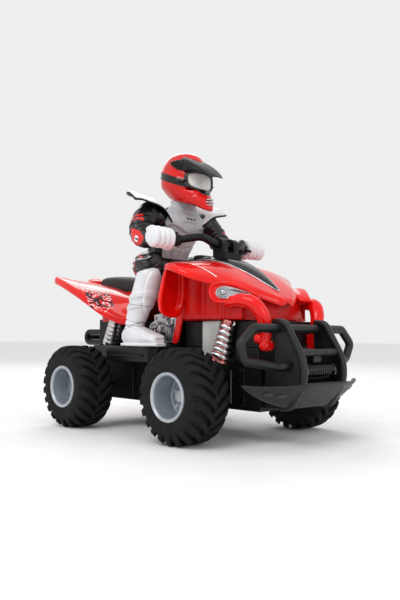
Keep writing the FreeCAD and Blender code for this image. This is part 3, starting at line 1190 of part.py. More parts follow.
def write():
    doc.recompute()
    bad = [o.Name for o in doc.Objects if "Invalid" in o.State or "Error" in o.State]
    for obj in PARTS:
        if obj.Shape.isNull() or not obj.Shape.isValid():
            bad.append(obj.Label)
    if bad:
        raise SystemExit(f"not built: {bad}")
    os.makedirs("parts", exist_ok=True)
    for old in os.listdir("parts"):
        if old.endswith(".step"):
            os.remove(os.path.join("parts", old))
    for obj in PARTS:
        obj.Shape.exportStep(os.path.join("parts", obj.Label + ".step"))
    print(len(PARTS), "sub-parts", {o.Label: len(o.Shape.Solids) for o in PARTS
                                    if len(o.Shape.Solids) != 1})


wheels()
hull()
deck()
towers()
battery_bay()
drive_train()
steering()
front_guard()
front_fairing()
rear_fairing()
seat()
hood_cover()
headlights()
shocks()
side_trim()
engine()
grab_bar()
handlebar()
rider()
helmet()
fasteners()
write()
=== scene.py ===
# %% [markdown]
# # A remote-control quad bike and its rider
#
# The toy is moulded plastic: gloss red body shells and a satin black chassis, with four soft
# rubber tyres and a rider who is screwed to the seat. The engineering model fixes every size and
# every moving body. This lesson loads it, keeps the pieces whose shape is already right, and
# replaces the rest with pieces that have the real one's rounding, seams and finish. First comes
# the frame.

# %% Load the frame
import json
import math

import bmesh
import bpy
from mathutils import Matrix, Vector, noise

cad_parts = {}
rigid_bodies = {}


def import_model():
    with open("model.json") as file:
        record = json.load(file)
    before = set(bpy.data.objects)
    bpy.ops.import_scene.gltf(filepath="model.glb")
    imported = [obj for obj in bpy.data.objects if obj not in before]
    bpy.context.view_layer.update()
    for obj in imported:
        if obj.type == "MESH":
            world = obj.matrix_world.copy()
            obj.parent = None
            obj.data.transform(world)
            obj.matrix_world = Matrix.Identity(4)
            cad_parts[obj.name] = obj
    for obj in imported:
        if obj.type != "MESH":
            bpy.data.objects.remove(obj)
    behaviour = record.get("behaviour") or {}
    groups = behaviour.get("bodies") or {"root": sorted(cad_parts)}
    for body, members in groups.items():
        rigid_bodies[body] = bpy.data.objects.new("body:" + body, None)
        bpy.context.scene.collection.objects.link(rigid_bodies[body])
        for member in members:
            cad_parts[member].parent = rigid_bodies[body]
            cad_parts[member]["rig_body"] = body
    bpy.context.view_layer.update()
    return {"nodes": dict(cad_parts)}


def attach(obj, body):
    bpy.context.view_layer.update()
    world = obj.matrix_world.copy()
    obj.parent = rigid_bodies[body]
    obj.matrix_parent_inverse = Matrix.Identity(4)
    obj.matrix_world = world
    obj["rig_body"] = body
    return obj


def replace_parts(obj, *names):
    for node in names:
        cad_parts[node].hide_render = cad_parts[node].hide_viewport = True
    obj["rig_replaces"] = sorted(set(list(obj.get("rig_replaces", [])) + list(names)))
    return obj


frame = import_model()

# %% [markdown]
# ## Camera
#
# The toy is seen from its front right corner, low down, about level with the deck and looking
# slightly up, as a buyer sees it on a table. The place and the direction were worked out from the
# model's known sizes, so they are plain numbers: two angles, a slight roll and a lens. The matrix
# is built from three directions, because that shows what a camera matrix holds: right, up and
# backwards.

# %% Camera
YAW, PITCH, ROLL = math.radians(46.257), math.radians(3.275), math.radians(0.326)
CAMERA_PLACE = Vector((0.27250, -0.25196, 0.04966))


def camera_matrix(place, yaw, pitch, roll):
    look = Vector((-math.sin(yaw) * math.cos(pitch), math.cos(yaw) * math.cos(pitch), math.sin(pitch)))
    side = look.cross(Vector((0, 0, 1))).normalized()
    up = side.cross(look)
    right = side * math.cos(roll) + up * math.sin(roll)
    top = up * math.cos(roll) - side * math.sin(roll)
    turn = Matrix((right, top, -look)).transposed().to_4x4()
    return Matrix.Translation(place) @ turn


camera = bpy.data.objects.new("camera", bpy.data.cameras.new("camera"))
camera.data.lens = 39.64
camera.data.clip_start = 0.001
camera.matrix_world = camera_matrix(CAMERA_PLACE, YAW, PITCH, ROLL)
bpy.context.collection.objects.link(camera)
bpy.context.scene.camera = camera
print("camera looks along", [round(c, 3) for c in camera.matrix_world.to_3x3() @ Vector((0, 0, -1))])

# %% [markdown]
# ## Colours, nodes and materials
#
# Paint charts give a colour as it looks on a screen, while the renderer adds up light, so one
# function turns the first into the second. A second small function adds a shader node with its
# settings and its links. A third starts a material with the values that are the same all over
# its surface; they sit on the shader's own sockets, where an exporter can read them.

# %% Colour and node helpers
MM = 0.001


def colour(code):
    """An sRGB hex colour as linear red, green, blue and alpha."""
    parts = [int(code[i:i + 2], 16) / 255 for i in (1, 3, 5)]
    return tuple(c / 12.92 if c <= 0.04045 else ((c + 0.055) / 1.055) ** 2.4 for c in parts) + (1.0,)


def add(tree, kind, values=None, links=None, stops=None, **attributes):
    """Adds one shader node with its attributes, its inputs' values, its links and a ramp's stops."""
    node = tree.nodes.new("ShaderNode" + kind)
    for key, value in attributes.items():
        setattr(node, key, value)
    for key, value in (values or {}).items():
        node.inputs[key].default_value = colour(value) if isinstance(value, str) else value
    for key, source in (links or {}).items():
        tree.links.new(source.outputs[0] if hasattr(source, "outputs") else source, node.inputs[key])
    for n, (place, code) in enumerate(stops or []):
        band = node.color_ramp.elements
        element = band[n] if n < len(band) else band.new(place)
        element.position = place
        element.color = colour(code)
    return node


def material(name, **sockets):
    """A new material with its node tree, its shader and the piece's own coordinates."""
    made = bpy.data.materials.new(name)
    made.use_nodes = True
    shader = made.node_tree.nodes["Principled BSDF"]
    for key, value in sockets.items():
        value = colour(value) if isinstance(value, str) else value
        shader.inputs[key.replace("_", " ")].default_value = value
    return made, made.node_tree, shader, add(made.node_tree, "TexCoord").outputs["Object"]


def per_mm(size):
    """A texture scale that gives blobs of this size in mm, because the pieces are in metres."""
    return 1000 / size


def slab(tree, spot, way, centre, half):
    """A mask that is 1 between two planes: their direction, their middle and half their gap, in mm."""
    along = add(tree, "VectorMath", {1: Vector(way).normalized()}, {0: spot}, operation="DOT_PRODUCT")
    return add(tree, "Math", {1: centre * MM, 2: half * MM}, {0: along.outputs["Value"]},
               operation="COMPARE")


def both(tree, *masks):
    """The mask where all the masks meet."""
    first = masks[0]
    for mask in masks[1:]:
        first = add(tree, "Math", links={0: first, 1: mask}, operation="MULTIPLY")
    return first


def paint_of(node):
    """A node's colour output, which is the third one on a colour mix."""
    return node.outputs[2] if node.bl_idname == "ShaderNodeMix" else node.outputs[0]


def laid(tree, mask, under, over):
    """Paint of one hex colour over what is there, where the mask is 1."""
    return add(tree, "Mix", {7: over}, {0: mask, 6: paint_of(under)}, data_type="RGBA")


def mirrored_spot(tree, spot):
    """The place with its sideways distance made positive."""
    parts = add(tree, "SeparateXYZ", links={0: spot})
    side = add(tree, "Math", links={0: parts.outputs["Y"]}, operation="ABSOLUTE")
    return add(tree, "CombineXYZ", links={0: parts.outputs["X"], 1: side,
                                          2: parts.outputs["Z"]}).outputs[0]


def block(tree, spot, *bands):
    """The mask where several bands of direction, middle and half width meet."""
    return both(tree, *(slab(tree, spot, way, centre, half) for way, centre, half in bands))


# %% [markdown]
# ### Moulded plastics
#
# The body shells are ABS, which leaves a polished mould with a wet gloss: a red that is nearly
# pure, a faint waviness where the wall shrank, and light dust in the gloss. The chassis is satin
# black ABS or nylon from a spark-eroded mould, whose fine grain spreads the highlight. One
# function makes them all, because only colour, gloss and grain differ. It can take layers of
# paint, which the real ones get from masks and pads after moulding.

# %% Moulded plastics
def moulded(name, deep, plain, gloss, grain, depth, layers=None, **sockets):
    """Moulded plastic: changes of shade, uneven gloss, sink waves and mould grain, sizes in mm."""
    made, tree, shader, spot = material(name, **sockets)
    cloud = add(tree, "TexNoise", {"Scale": per_mm(9.0), "Detail": 4.0}, {"Vector": spot})
    shade = add(tree, "ValToRGB", links={"Fac": cloud}, stops=[(0.3, deep), (0.7, plain)])
    film = add(tree, "TexNoise", {"Scale": per_mm(2.4), "Detail": 6.0}, {"Vector": spot})
    rough = add(tree, "MapRange", {"To Min": gloss * 0.75, "To Max": gloss * 1.35}, {"Value": film})
    wave = add(tree, "TexNoise", {"Scale": per_mm(7.0), "Detail": 1.0}, {"Vector": spot})
    sink = add(tree, "Bump", {"Strength": 1.0, "Distance": 0.03 * MM}, {"Height": wave})
    fine = add(tree, "TexNoise", {"Scale": per_mm(grain), "Detail": 3.0}, {"Vector": spot})
    bump = add(tree, "Bump", {"Strength": 1.0, "Distance": depth * MM}, {"Height": fine, "Normal": sink})
    paint = layers(tree, spot, shade) if layers else shade
    tree.links.new(paint_of(paint), shader.inputs["Base Color"])
    tree.links.new(rough.outputs[0], shader.inputs["Roughness"])
    tree.links.new(bump.outputs[0], shader.inputs["Normal"])
    return made


def wing_print(tree, spot, under):
    """Thin printed lines on the front wings and a splash pattern on the rear ones."""
    spot = mirrored_spot(tree, spot)
    for centre, half, code in ((40.2, 0.28, "#F4ECEC"), (40.95, 0.12, "#1A1516")):
        mask = block(tree, spot, ((0.28, 0.96, 0), centre, half), ((1, 0, 0), 41.0, 11.0),
                     ((0, 0, 1), 92.0, 13.0))
        under = laid(tree, mask, under, code)
    flow = add(tree, "VectorMath", {1: (0.45, 1.0, 1.0)}, {0: spot}, operation="MULTIPLY")
    blots = add(tree, "TexNoise", {"Scale": per_mm(5.2), "Detail": 4.0, "Distortion": 1.6},
                {"Vector": flow})
    patch = block(tree, spot, ((1, 0, 0), -43.0, 13.0), ((-0.25, 1, 0), 42.0, 6.0),
                  ((0.3, 0, 1), 64.0, 12.0))
    for low, high, code in ((0.53, 0.62, "#131314"), (0.44, 0.475, "#F4E4E6"), (0.62, 0.9, "#E8A9AE")):
        band = add(tree, "Math", {1: (low + high) / 2, 2: (high - low) / 2}, {0: blots},
                   operation="COMPARE")
        under = laid(tree, both(tree, patch, band), under, code)
    return under


def badge_print(tree, spot, under):
    """Three plain dark bars on the chest plate's badge."""
    for centre in (-2.5, 0.0, 2.5):
        mask = block(tree, spot, ((0, 1, 0), centre, 0.85), ((0, 0, 1), 116.4, 0.5),
                     ((1, 0, 0), 3.0, 12.0))
        under = laid(tree, mask, under, "#1B1C1E")
    return under


RED = moulded("gloss_red_abs", "#D60A06", "#E80F09", 0.16, 0.5, 0.004, wing_print, Coat_Weight=0.18,
              Coat_Roughness=0.06, Specular_IOR_Level=0.28)
# A darker copy of the body red for the inner walls, skirts, seat pan and tail walls: its darker tone is
# painted shade, its satin gloss is the moulding's own.
RED_IN_PAINTED_SHADE = moulded("satin_red_abs_painted_shade", "#BC0805", "#D00B06", 0.34, 0.4, 0.012, Specular_IOR_Level=0.25)
BLACK = moulded("satin_black_abs", "#070809", "#0F1011", 0.36, 0.35, 0.02, Specular_IOR_Level=0.24)
GLOSS_BLACK = moulded("gloss_black_abs", "#08090A", "#101113", 0.18, 0.5, 0.005, Coat_Weight=0.3,
                      Coat_Roughness=0.1)
GUARD = moulded("grained_black_nylon", "#0B0D0E", "#151819", 0.4, 0.32, 0.035, Specular_IOR_Level=0.4)
GREY_CAST = moulded("cast_look_grey_abs", "#A9AAA8", "#BDBEBB", 0.55, 0.45, 0.09, Metallic=0.25)
WHITE = moulded("satin_white_pvc", "#D6D7DA", "#E6E7E9", 0.36, 0.4, 0.01)
ARMOUR = moulded("light_grey_pvc", "#A2A4A8", "#B9BBBE", 0.42, 0.4, 0.015, badge_print,
                 Specular_IOR_Level=0.4)
SERVO = moulded("matt_black_nylon", "#131416", "#1D1E21", 0.5, 0.3, 0.02)
NYLON = moulded("natural_nylon", "#D9D3C2", "#E8E3D5", 0.4, 0.4, 0.01)
print("plastics:", len(bpy.data.materials))

# %% [markdown]
# ### Rubber, grained plastic and painted or plated finishes
#
# The tyres are soft PVC rubber from a blasted mould: nearly black, dull, and greyer where dust
# has settled. The seat is black ABS with a moulded leather grain, which is drawn with rounded
# cells; the creases between the cells are painted darker, which is painted shade. Chrome and silver
# on such a toy are vacuum plating and silver paint: a metal that hides the plastic's colour but
# keeps its small waves. The rims are silver-blue paint.

# %% Rubber, grain, paint and plating
def rubber():
    made, tree, shader, spot = material("soft_pvc_rubber", Roughness=0.78, Specular_IOR_Level=0.22)
    dust = add(tree, "TexNoise", {"Scale": per_mm(5.0), "Detail": 8.0, "Roughness": 0.65},
               {"Vector": spot})
    shade = add(tree, "ValToRGB", links={"Fac": dust},
                stops=[(0.35, "#0E0E0F"), (0.62, "#18181A"), (0.8, "#272727")])
    grit = add(tree, "TexNoise", {"Scale": per_mm(0.3), "Detail": 3.0}, {"Vector": spot})
    bump = add(tree, "Bump", {"Strength": 1.0, "Distance": 0.05 * MM}, {"Height": grit})
    tree.links.new(shade.outputs[0], shader.inputs["Base Color"])
    tree.links.new(bump.outputs[0], shader.inputs["Normal"])
    return made


def grained(name, deep, plain, cell, depth):
    """A leather-look grain: rounded cells of a few tenths of a millimetre, with painted shade darkening the
    creases between them.
    """
    made, tree, shader, spot = material(name, Roughness=0.5)
    cells = add(tree, "TexVoronoi", {"Scale": per_mm(cell)}, {"Vector": spot}, feature="DISTANCE_TO_EDGE")
    top = add(tree, "ValToRGB", links={"Fac": cells}, stops=[(0.0, "#000000"), (0.25, "#FFFFFF")])
    # The cells' edges get the deep colour: painted shade in the grain's creases.
    shade = add(tree, "ValToRGB", links={"Fac": cells}, stops=[(0.0, deep), (0.2, plain)])
    bump = add(tree, "Bump", {"Strength": 1.0, "Distance": depth * MM}, {"Height": top})
    tree.links.new(shade.outputs[0], shader.inputs["Base Color"])
    tree.links.new(bump.outputs[0], shader.inputs["Normal"])
    return made


def plated(name, low, high, gloss, wave, depth, layers=None):
    """Bright plating or metal paint over plastic: the metal's colour, uneven gloss and fine waves."""
    made, tree, shader, spot = material(name, Metallic=1.0)
    cloud = add(tree, "TexNoise", {"Scale": per_mm(3.0), "Detail": 5.0}, {"Vector": spot})
    shade = add(tree, "ValToRGB", links={"Fac": cloud}, stops=[(0.3, low), (0.7, high)])
    rough = add(tree, "MapRange", {"To Min": gloss * 0.7, "To Max": gloss * 1.4}, {"Value": cloud})
    ripple = add(tree, "TexNoise", {"Scale": per_mm(wave), "Detail": 2.0}, {"Vector": spot})
    bump = add(tree, "Bump", {"Strength": 1.0, "Distance": depth * MM}, {"Height": ripple})
    paint = layers(tree, spot, shade) if layers else shade
    tree.links.new(paint_of(paint), shader.inputs["Base Color"])
    tree.links.new(rough.outputs[0], shader.inputs["Roughness"])
    tree.links.new(bump.outputs[0], shader.inputs["Normal"])
    return made


RUBBER = rubber()
SEAT = grained("grained_black_abs", "#070708", "#17181A", 0.8, 0.12)
CHROME = plated("vacuum_plated_abs", "#C9CACC", "#E6E7E9", 0.16, 1.6, 0.02)
SILVER = plated("silver_painted_abs", "#A9ABAF", "#C9CBCE", 0.3, 0.7, 0.02)
STEEL = plated("zinc_plated_steel", "#9B9DA0", "#B9BABC", 0.28, 0.5, 0.01)
RIM = moulded("rim_silver_paint", "#7F8790", "#98A0A8", 0.38, 0.4, 0.01, Metallic=0.35)
RIM_LIP = moulded("rim_lip_paint", "#A3AAB0", "#B9BFC4", 0.34, 0.4, 0.01, Metallic=0.35)
BOARD = moulded("green_fibreglass_board", "#0C3B22", "#11502E", 0.35, 0.5, 0.02)
CELL = moulded("shrink_film_battery", "#1B4FA0", "#2560BC", 0.25, 0.6, 0.01)
print("materials:", ", ".join(m.name for m in bpy.data.materials))

# %% [markdown]
# ## Mesh helpers
#
# Most of the toy's shapes are skins over a few cross-sections, lathe work or tubes, so three
# helpers make those: one bridges rings of vertices, one spins a profile, one sweeps a circle along
# a path. They work in millimetres, round the model's own origin. Small ones move a mesh, join
# several, and add the mirror image for the toy's other side.

# %% Rings, skins, lathe work and tubes
DECK = 45.0                     # height of the deck over the ground, in mm
UP = Vector((0, 0, 1))


def oval(centre, a, b, way, across, count=24, power=2.0):
    """Points of an oval or a rounded box: a lies along across, b at right angles; way goes through."""
    way = Vector(way).normalized()
    side = (Vector(across) - way * way.dot(Vector(across))).normalized()
    top = way.cross(side)
    points = []
    for n in range(count):
        t = math.tau * n / count
        c, s = math.cos(t), math.sin(t)
        u = math.copysign(abs(c) ** (2 / power), c)
        v = math.copysign(abs(s) ** (2 / power), s)
        points.append(Vector(centre) + side * (a * u) + top * (b * v))
    return points


def upright(centre, half, high, count=24, power=2.0):
    """An oval that stands across the toy: half its width, half its height."""
    return oval(centre, half, high, (1, 0, 0), (0, 1, 0), count, power)


def skin(rings, bm=None, caps=True, closed=False):
    """Bridges each ring of points to the next one."""
    bm = bm or bmesh.new()
    loops = []
    for points in rings:
        verts = bmesh.ops.create_circle(bm, segments=len(points), radius=1.0)["verts"]
        for vert, point in zip(verts, points):
            vert.co = point
        loops.append(list(dict.fromkeys(e for v in verts for e in v.link_edges)))
    for one, two in zip(loops, loops[1:] + (loops[:1] if closed else [])):
        bmesh.ops.bridge_loops(bm, edges=one + two)
    if caps and not closed:
        bmesh.ops.contextual_create(bm, geom=loops[0])
        bmesh.ops.contextual_create(bm, geom=loops[-1])
    return bm


def lathe(profile, steps=48, bm=None):
    """Spins (radius, place along the axis) corners round the Y axis."""
    bm = bm or bmesh.new()
    verts = [bm.verts.new((r, y, 0)) for r, y in profile]
    edges = [bm.edges.new(pair) for pair in zip(verts, verts[1:])]
    bmesh.ops.spin(bm, geom=verts + edges, cent=(0, 0, 0), axis=(0, 1, 0), angle=math.tau, steps=steps,
                   use_merge=True)
    bmesh.ops.remove_doubles(bm, verts=bm.verts, dist=1e-4)
    return bm


def smooth_path(points, turns=6):
    """A path through the points, with every inner corner rounded by an even curve."""
    points = [Vector(p) for p in points]
    out = [points[0]]
    for a, b, c in zip(points, points[1:], points[2:]):
        reach = min((a - b).length, (c - b).length) * 0.42
        start, end = b + (a - b).normalized() * reach, b + (c - b).normalized() * reach
        for n in range(turns + 1):
            t = n / turns
            out.append(start * (1 - t) ** 2 + b * (2 * t * (1 - t)) + end * t ** 2)
    return out + [points[-1]]


def tube(path, radii, count=16, bm=None, across=(0, 0, 1), power=2.0):
    """A rod along a path; radii is one number or one for each point."""
    path = [Vector(p) for p in path]
    radii = radii if isinstance(radii, (list, tuple)) else [radii] * len(path)
    rings = []
    for n, point in enumerate(path):
        way = path[min(n + 1, len(path) - 1)] - path[max(n - 1, 0)]
        side = Vector(across) if abs(way.normalized().dot(Vector(across))) < 0.95 else Vector((1, 0, 0))
        rings.append(oval(point, radii[n], radii[n], way, side, count, power))
    return skin(rings, bm)


def moved(bm, shift=(0, 0, 0), turn=0.0, axis="Z", stretch=(1, 1, 1)):
    """Stretches, turns and shifts a whole mesh, in that order."""
    spin = Matrix.Rotation(math.radians(turn), 4, axis)
    matrix = Matrix.Translation(shift) @ spin @ Matrix.Diagonal((*stretch, 1))
    bmesh.ops.transform(bm, matrix=matrix, verts=bm.verts)
    return bm


def joined(parts):
    """Several meshes as one."""
    whole = parts[0]
    for other in parts[1:]:
        spare = bpy.data.meshes.new("spare")
        other.to_mesh(spare)
        other.free()
        whole.from_mesh(spare)
        bpy.data.meshes.remove(spare)
    return whole


def twin(bm):
    """The mesh with its mirror image on the other side of the middle plane."""
    copy = bm.copy()
    moved(copy, stretch=(1, -1, 1))
    bmesh.ops.reverse_faces(copy, faces=copy.faces)
    return joined([bm, copy])


# %% [markdown]
# ### From a mesh to a piece
#
# One function turns a finished mesh into an object: it merges doubles, points the faces outwards,
# scales to metres, sets the modifiers, and says which node of the engineering model the piece
# belongs to. Its body comes from there. A second one copies a node's own
# mesh, for pieces that only need softer edges, and a third one paints a node that stays.

# %% Finished pieces
def piece(name, bm, paint, node, replaces=True, level=0, edge=0.0, wall=0.0, sharp=38, outward=True):
    """Makes an object of a mesh in mm; edge and wall are a bevel's and a wall's size in mm."""
    bmesh.ops.remove_doubles(bm, verts=bm.verts, dist=1e-3)
    if outward:
        bmesh.ops.recalc_face_normals(bm, faces=bm.faces)
    bmesh.ops.scale(bm, vec=(MM, MM, MM), verts=bm.verts)
    for face in bm.faces:
        face.smooth = True
    mesh = bpy.data.meshes.new(name)
    bm.to_mesh(mesh)
    bm.free()
    if not level:
        mesh.set_sharp_from_angle(angle=math.radians(sharp))
    mesh.materials.append(paint)
    obj = bpy.data.objects.new(name, mesh)
    bpy.context.collection.objects.link(obj)
    if wall:
        solid = obj.modifiers.new("wall", "SOLIDIFY")
        solid.thickness = wall * MM
        solid.offset = -1
    if edge:
        bevel = obj.modifiers.new("edge", "BEVEL")
        bevel.width = edge * MM
        bevel.segments = 2
        bevel.limit_method = "ANGLE"
        bevel.angle_limit = math.radians(30)
    if level:
        rounder = obj.modifiers.new("rounder", "SUBSURF")
        rounder.levels = rounder.render_levels = level
    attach(obj, frame["nodes"][node]["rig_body"])
    if replaces:
        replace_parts(obj, node)
    return obj


def cad_copy(node):
    """A node's mesh in mm, with its loose triangles merged and its flat faces made whole."""
    bm = bmesh.new()
    bm.from_mesh(frame["nodes"][node].data)
    bmesh.ops.scale(bm, vec=(1 / MM,) * 3, verts=bm.verts)
    bmesh.ops.remove_doubles(bm, verts=bm.verts, dist=1e-3)
    bmesh.ops.dissolve_limit(bm, angle_limit=math.radians(1.5), verts=bm.verts, edges=bm.edges)
    return bm


def paint_node(node, paint):
    """Gives a kept node its finish."""
    slots = frame["nodes"][node].material_slots
    for n in range(len(slots)):
        slots[n].material = paint
    if not slots:
        frame["nodes"][node].data.materials.append(paint)


# %% [markdown]
# ## Tyres
#
# Each tyre is a low-pressure balloon with deep chevron bars. A lathe gives the carcass: flat
# dull sidewalls, round shoulders and a nearly flat tread. One bar is a block that starts
# with a round end on the sidewall, runs over the shoulder and sweeps to the middle. It is cut in
# short lengths and bent round the carcass, so its top follows the tyre. Copies of it are spun
# round the axle, and the other side's bars sit half a step on, so that the two rows interlock.

# %% Tyres
AXLE_Z = 22.5                   # the wheels' axis over the ground
TYRE_W, BARS = 21.0, 22         # a tyre's width, and its bars on each side
CROWN_R, DROP = 20.4, 2.3       # the carcass under the tread, and its fall to the shoulder
FLAT, ROUND = 6.0, 4.5          # half the flat of the tread, and the rounding beside it
BEND_R = 21.0                   # the radius that a bar is bent round
WHEEL_X, WHEEL_Y = 44.0, 43.7   # a wheel's middle from the toy's


def crown(y):
    """The carcass radius under the tread at a distance y from the tyre's middle."""
    edge = max(0.0, (abs(y) - FLAT) / ROUND)
    return CROWN_R - DROP * edge ** 2.2


def tread_bar(side):
    """One bar at the top of the tyre: a skin over cross-sections that are bent round the axle."""
    bm = bmesh.new()
    rings = []
    for y, drift, half, lift in ((10.35, -0.9, 0.5, 0.2), (10.3, -0.8, 1.3, 0.9), (9.9, -0.6, 1.62, 1.35),
                                 (9.0, -0.2, 1.7, 1.75), (7.6, 0.5, 1.7, 2.0), (5.6, 1.8, 1.65, 2.1),
                                 (3.4, 3.5, 1.6, 2.15), (1.2, 5.4, 1.55, 2.1), (-0.4, 6.8, 1.5, 2.0),
                                 (-1.2, 7.5, 0.9, 1.2)):
        low, high = crown(y) - 0.8, crown(y) + lift
        ring = [(drift - half * 1.18, low), (drift - half, high - 0.35), (drift - half * 0.72, high),
                (drift + half * 0.72, high), (drift + half, high - 0.35), (drift + half * 1.18, low)]
        rings.append([Vector((math.sin(u / BEND_R) * r, side * y, math.cos(u / BEND_R) * r))
                      for u, r in ring])
    return skin(rings, bm)


def tyre():
    half = TYRE_W / 2
    wall = [(10.6, -half + 0.9), (11.7, -half + 0.75), (12.1, -half + 0.35), (13.2, -half + 0.25),
            (15.6, -half), (17.2, -half + 0.15), (18.4, -half + 0.9)]
    tread = [(crown(y), y) for y in (-8.6, -7.4, -6.0, -3.0, 0.0, 3.0, 6.0, 7.4, 8.6)]
    whole = [lathe(wall + tread + [(r, -y) for r, y in reversed(wall)], 88)]
    for side in (1, -1):
        for n in range(BARS):
            whole.append(moved(tread_bar(side), turn=360 / BARS * (n + (0.5 if side < 0 else 0)),
                               axis="Y"))
    return joined(whole)


def wheel_places():
    for end, x in (("front", WHEEL_X), ("rear", -WHEEL_X)):
        for hand, sign in (("left", 1), ("right", -1)):
            yield end, hand, x, sign


for end, hand, x, sign in wheel_places():
    bm = moved(tyre(), (x, sign * WHEEL_Y, AXLE_Z), stretch=(1, sign, 1))
    made = piece(f"tread_{end}_{hand}", bm, RUBBER, f"tyre_{end}_{hand}", sharp=32)
print("one tyre has", len(made.data.polygons), "faces")

# %% [markdown]
# ## Rims
#
# A rim is one deep dish in silver-blue paint with a paler rolled lip. The hub face at the bottom
# carries a raised centre and five round bolt bosses, each with a hexagon head. The dish is lathe
# work, and the bosses are small cones and six-sided posts set on a circle. The bosses and the lip
# are pieces of their own, so that they can have the paler paint.

# %% Rims
HUB_FLOOR = -0.4                # the hub face, from the middle of the wheel


def on_circle(count, radius, first=0.0):
    for n in range(count):
        angle = math.radians(first) + math.tau * n / count
        yield radius * math.cos(angle), radius * math.sin(angle)


def rim_dish():
    floor = HUB_FLOOR
    profile = [(1.56, -10.0), (3.4, -10.0), (3.4, -2.6), (9.0, -2.6), (9.0, -10.5), (11.4, -10.5),
               (11.4, -9.7), (10.65, -9.5), (10.65, 9.4), (9.75, 9.9), (9.6, 8.8), (9.35, 7.6),
               (9.0, floor + 1.6), (8.6, floor + 0.5), (7.9, floor), (5.0, floor + 0.15),
               (4.4, floor + 0.7), (3.5, floor + 1.1), (3.3, 1.1), (1.56, 1.1), (1.56, -10.0)]
    return lathe(profile, 64)


def rim_bolts():
    parts, floor = [], HUB_FLOOR
    for u, v in on_circle(5, 6.3, 18):
        boss = lathe([(0.0, floor + 0.9), (1.25, floor + 0.9), (1.6, floor + 0.55), (1.85, floor - 0.3),
                      (0.0, floor - 0.3)], 20)
        parts.append(moved(boss, (u, 0, v)))
        head = lathe([(0.0, floor + 1.75), (0.62, floor + 1.75), (0.78, floor + 1.6),
                      (0.78, floor + 0.6), (0.0, floor + 0.6)], 6)
        parts.append(moved(head, (u, 0, v)))
    return joined(parts)


def rim_lip():
    return lathe([(9.62, 8.9), (9.72, 9.7), (10.0, 10.35), (10.6, 10.72), (11.2, 10.6), (11.5, 10.1),
                  (11.5, 9.5), (10.9, 9.3), (9.62, 8.9)], 64)


for end, hand, x, sign in wheel_places():
    where = {"shift": (x, sign * WHEEL_Y, AXLE_Z), "stretch": (1, sign, 1)}
    piece(f"dish_{end}_{hand}", moved(rim_dish(), **where), RIM, f"rim_{end}_{hand}", sharp=30)
    piece(f"bolts_{end}_{hand}", moved(rim_bolts(), **where), RIM_LIP, f"rim_{end}_{hand}",
          replaces=False, sharp=30)
    piece(f"lip_{end}_{hand}", moved(rim_lip(), **where), RIM_LIP, f"rim_{end}_{hand}", replaces=False)
print("rims done; hub floor at", HUB_FLOOR, "mm from the wheel's middle")

# %% [markdown]
# ## Front body shell
#
# The front shell is one glossy red moulding: a roof that is creased over the bonnet and folds
# down into a rounded lip along each wing. It is a skin over cross-sections from the tank to the
# nose. Each section is written as a half outline, from the middle over the crease to the lip and
# back underneath, and mirrored. Subdivision then gives the soft highlights of a polished mould.

# %% Front roof
FRONT_ROWS = (
    # x, outer y, crease y, heights over the deck at the lip, the crease and the middle
    (14.2, 15.0, 10.0, 43.2, 44.6, 45.6),
    (16.6, 20.5, 12.0, 42.8, 44.6, 45.8),
    (18.6, 31.0, 16.0, 42.0, 44.2, 45.8),
    (20.6, 36.2, 20.0, 41.6, 43.8, 45.8),
    (25.0, 39.8, 22.0, 41.6, 43.8, 45.6),
    (30.0, 41.6, 22.0, 40.9, 43.5, 45.2),
    (36.0, 42.0, 21.0, 39.0, 42.6, 43.9),
    (41.0, 40.0, 20.0, 36.6, 40.9, 41.8),
    (46.0, 34.5, 18.5, 34.4, 38.8, 39.6),
    (51.0, 28.5, 17.0, 32.6, 36.1, 36.8),
    (57.0, 23.2, 14.5, 30.6, 32.7, 33.2),
    (62.0, 18.4, 11.0, 28.4, 29.5, 29.8),
    (66.0, 13.5, 8.0, 26.2, 26.9, 27.0),
    (69.4, 7.6, 4.6, 24.2, 24.6, 24.7),
    (71.0, 4.4, 2.6, 22.9, 23.2, 23.3),
)


def sheet_ring(x, yo, yc, zo, zc, zm, skin_t=1.9, lip=3.4, inner=0.0):
    """A cross-section of a folded sheet with a rounded lip turned down along its outer edge."""
    zi = zm + (zc - zm) * inner / yc
    mid_y, mid_z = (yc + yo) / 2, (zc + zo) / 2
    quarter = inner + (yc - inner) * 0.55
    q_z = zi + (zc - zi) * 0.4
    over = [(inner, zi), (quarter, q_z), (yc, zc), (mid_y, mid_z + 0.5), (yo - 2.4, zo + 0.5),
            (yo - 0.7, zo - 0.1), (yo, zo - 1.3)]
    under = [(yo, zo - lip + 0.6), (yo - 0.6, zo - lip), (yo - 1.8, zo - lip + 0.1),
             (yo - 2.5, zo - 2.4), (mid_y - 0.4, mid_z - skin_t + 0.4), (yc, zc - skin_t),
             (quarter, q_z - skin_t), (inner, zi - skin_t)]
    return [Vector((x, y, DECK + z)) for y, z in over + under]


def mirrored_ring(half):
    """A closed ring from a half outline that starts and ends on the middle plane."""
    return half + [Vector((p.x, -p.y, p.z)) for p in reversed(half[1:-1])]


roof = skin([mirrored_ring(sheet_ring(*row)) for row in FRONT_ROWS])
piece("front_roof", roof, RED, "front_fairing", level=2)
print("front roof sections:", len(FRONT_ROWS))

# %% [markdown]
# ### Mudguard flaps, inner walls and nose
#
# Behind each front wheel the shell turns down into a mudguard with a wide rounded rim and a
# recessed inner face. It is an outline that is extruded, inset and pushed back, like a tray. The
# inner walls carry upright ribs that stiffen the real moulding. They are grids whose columns are
# moved in and out, and they get their thickness from a modifier.

# %% Flaps and walls
FLAP = ((24.0, 85.6), (29.5, 86.9), (34.4, 87.0), (37.0, 85.2), (38.5, 80.5), (39.9, 75.0),
        (41.2, 70.0), (41.4, 65.6), (40.6, 62.3), (38.0, 60.2), (33.4, 59.3), (29.4, 59.6),
        (26.6, 62.2), (25.0, 65.6), (24.0, 70.0), (23.6, 78.0))


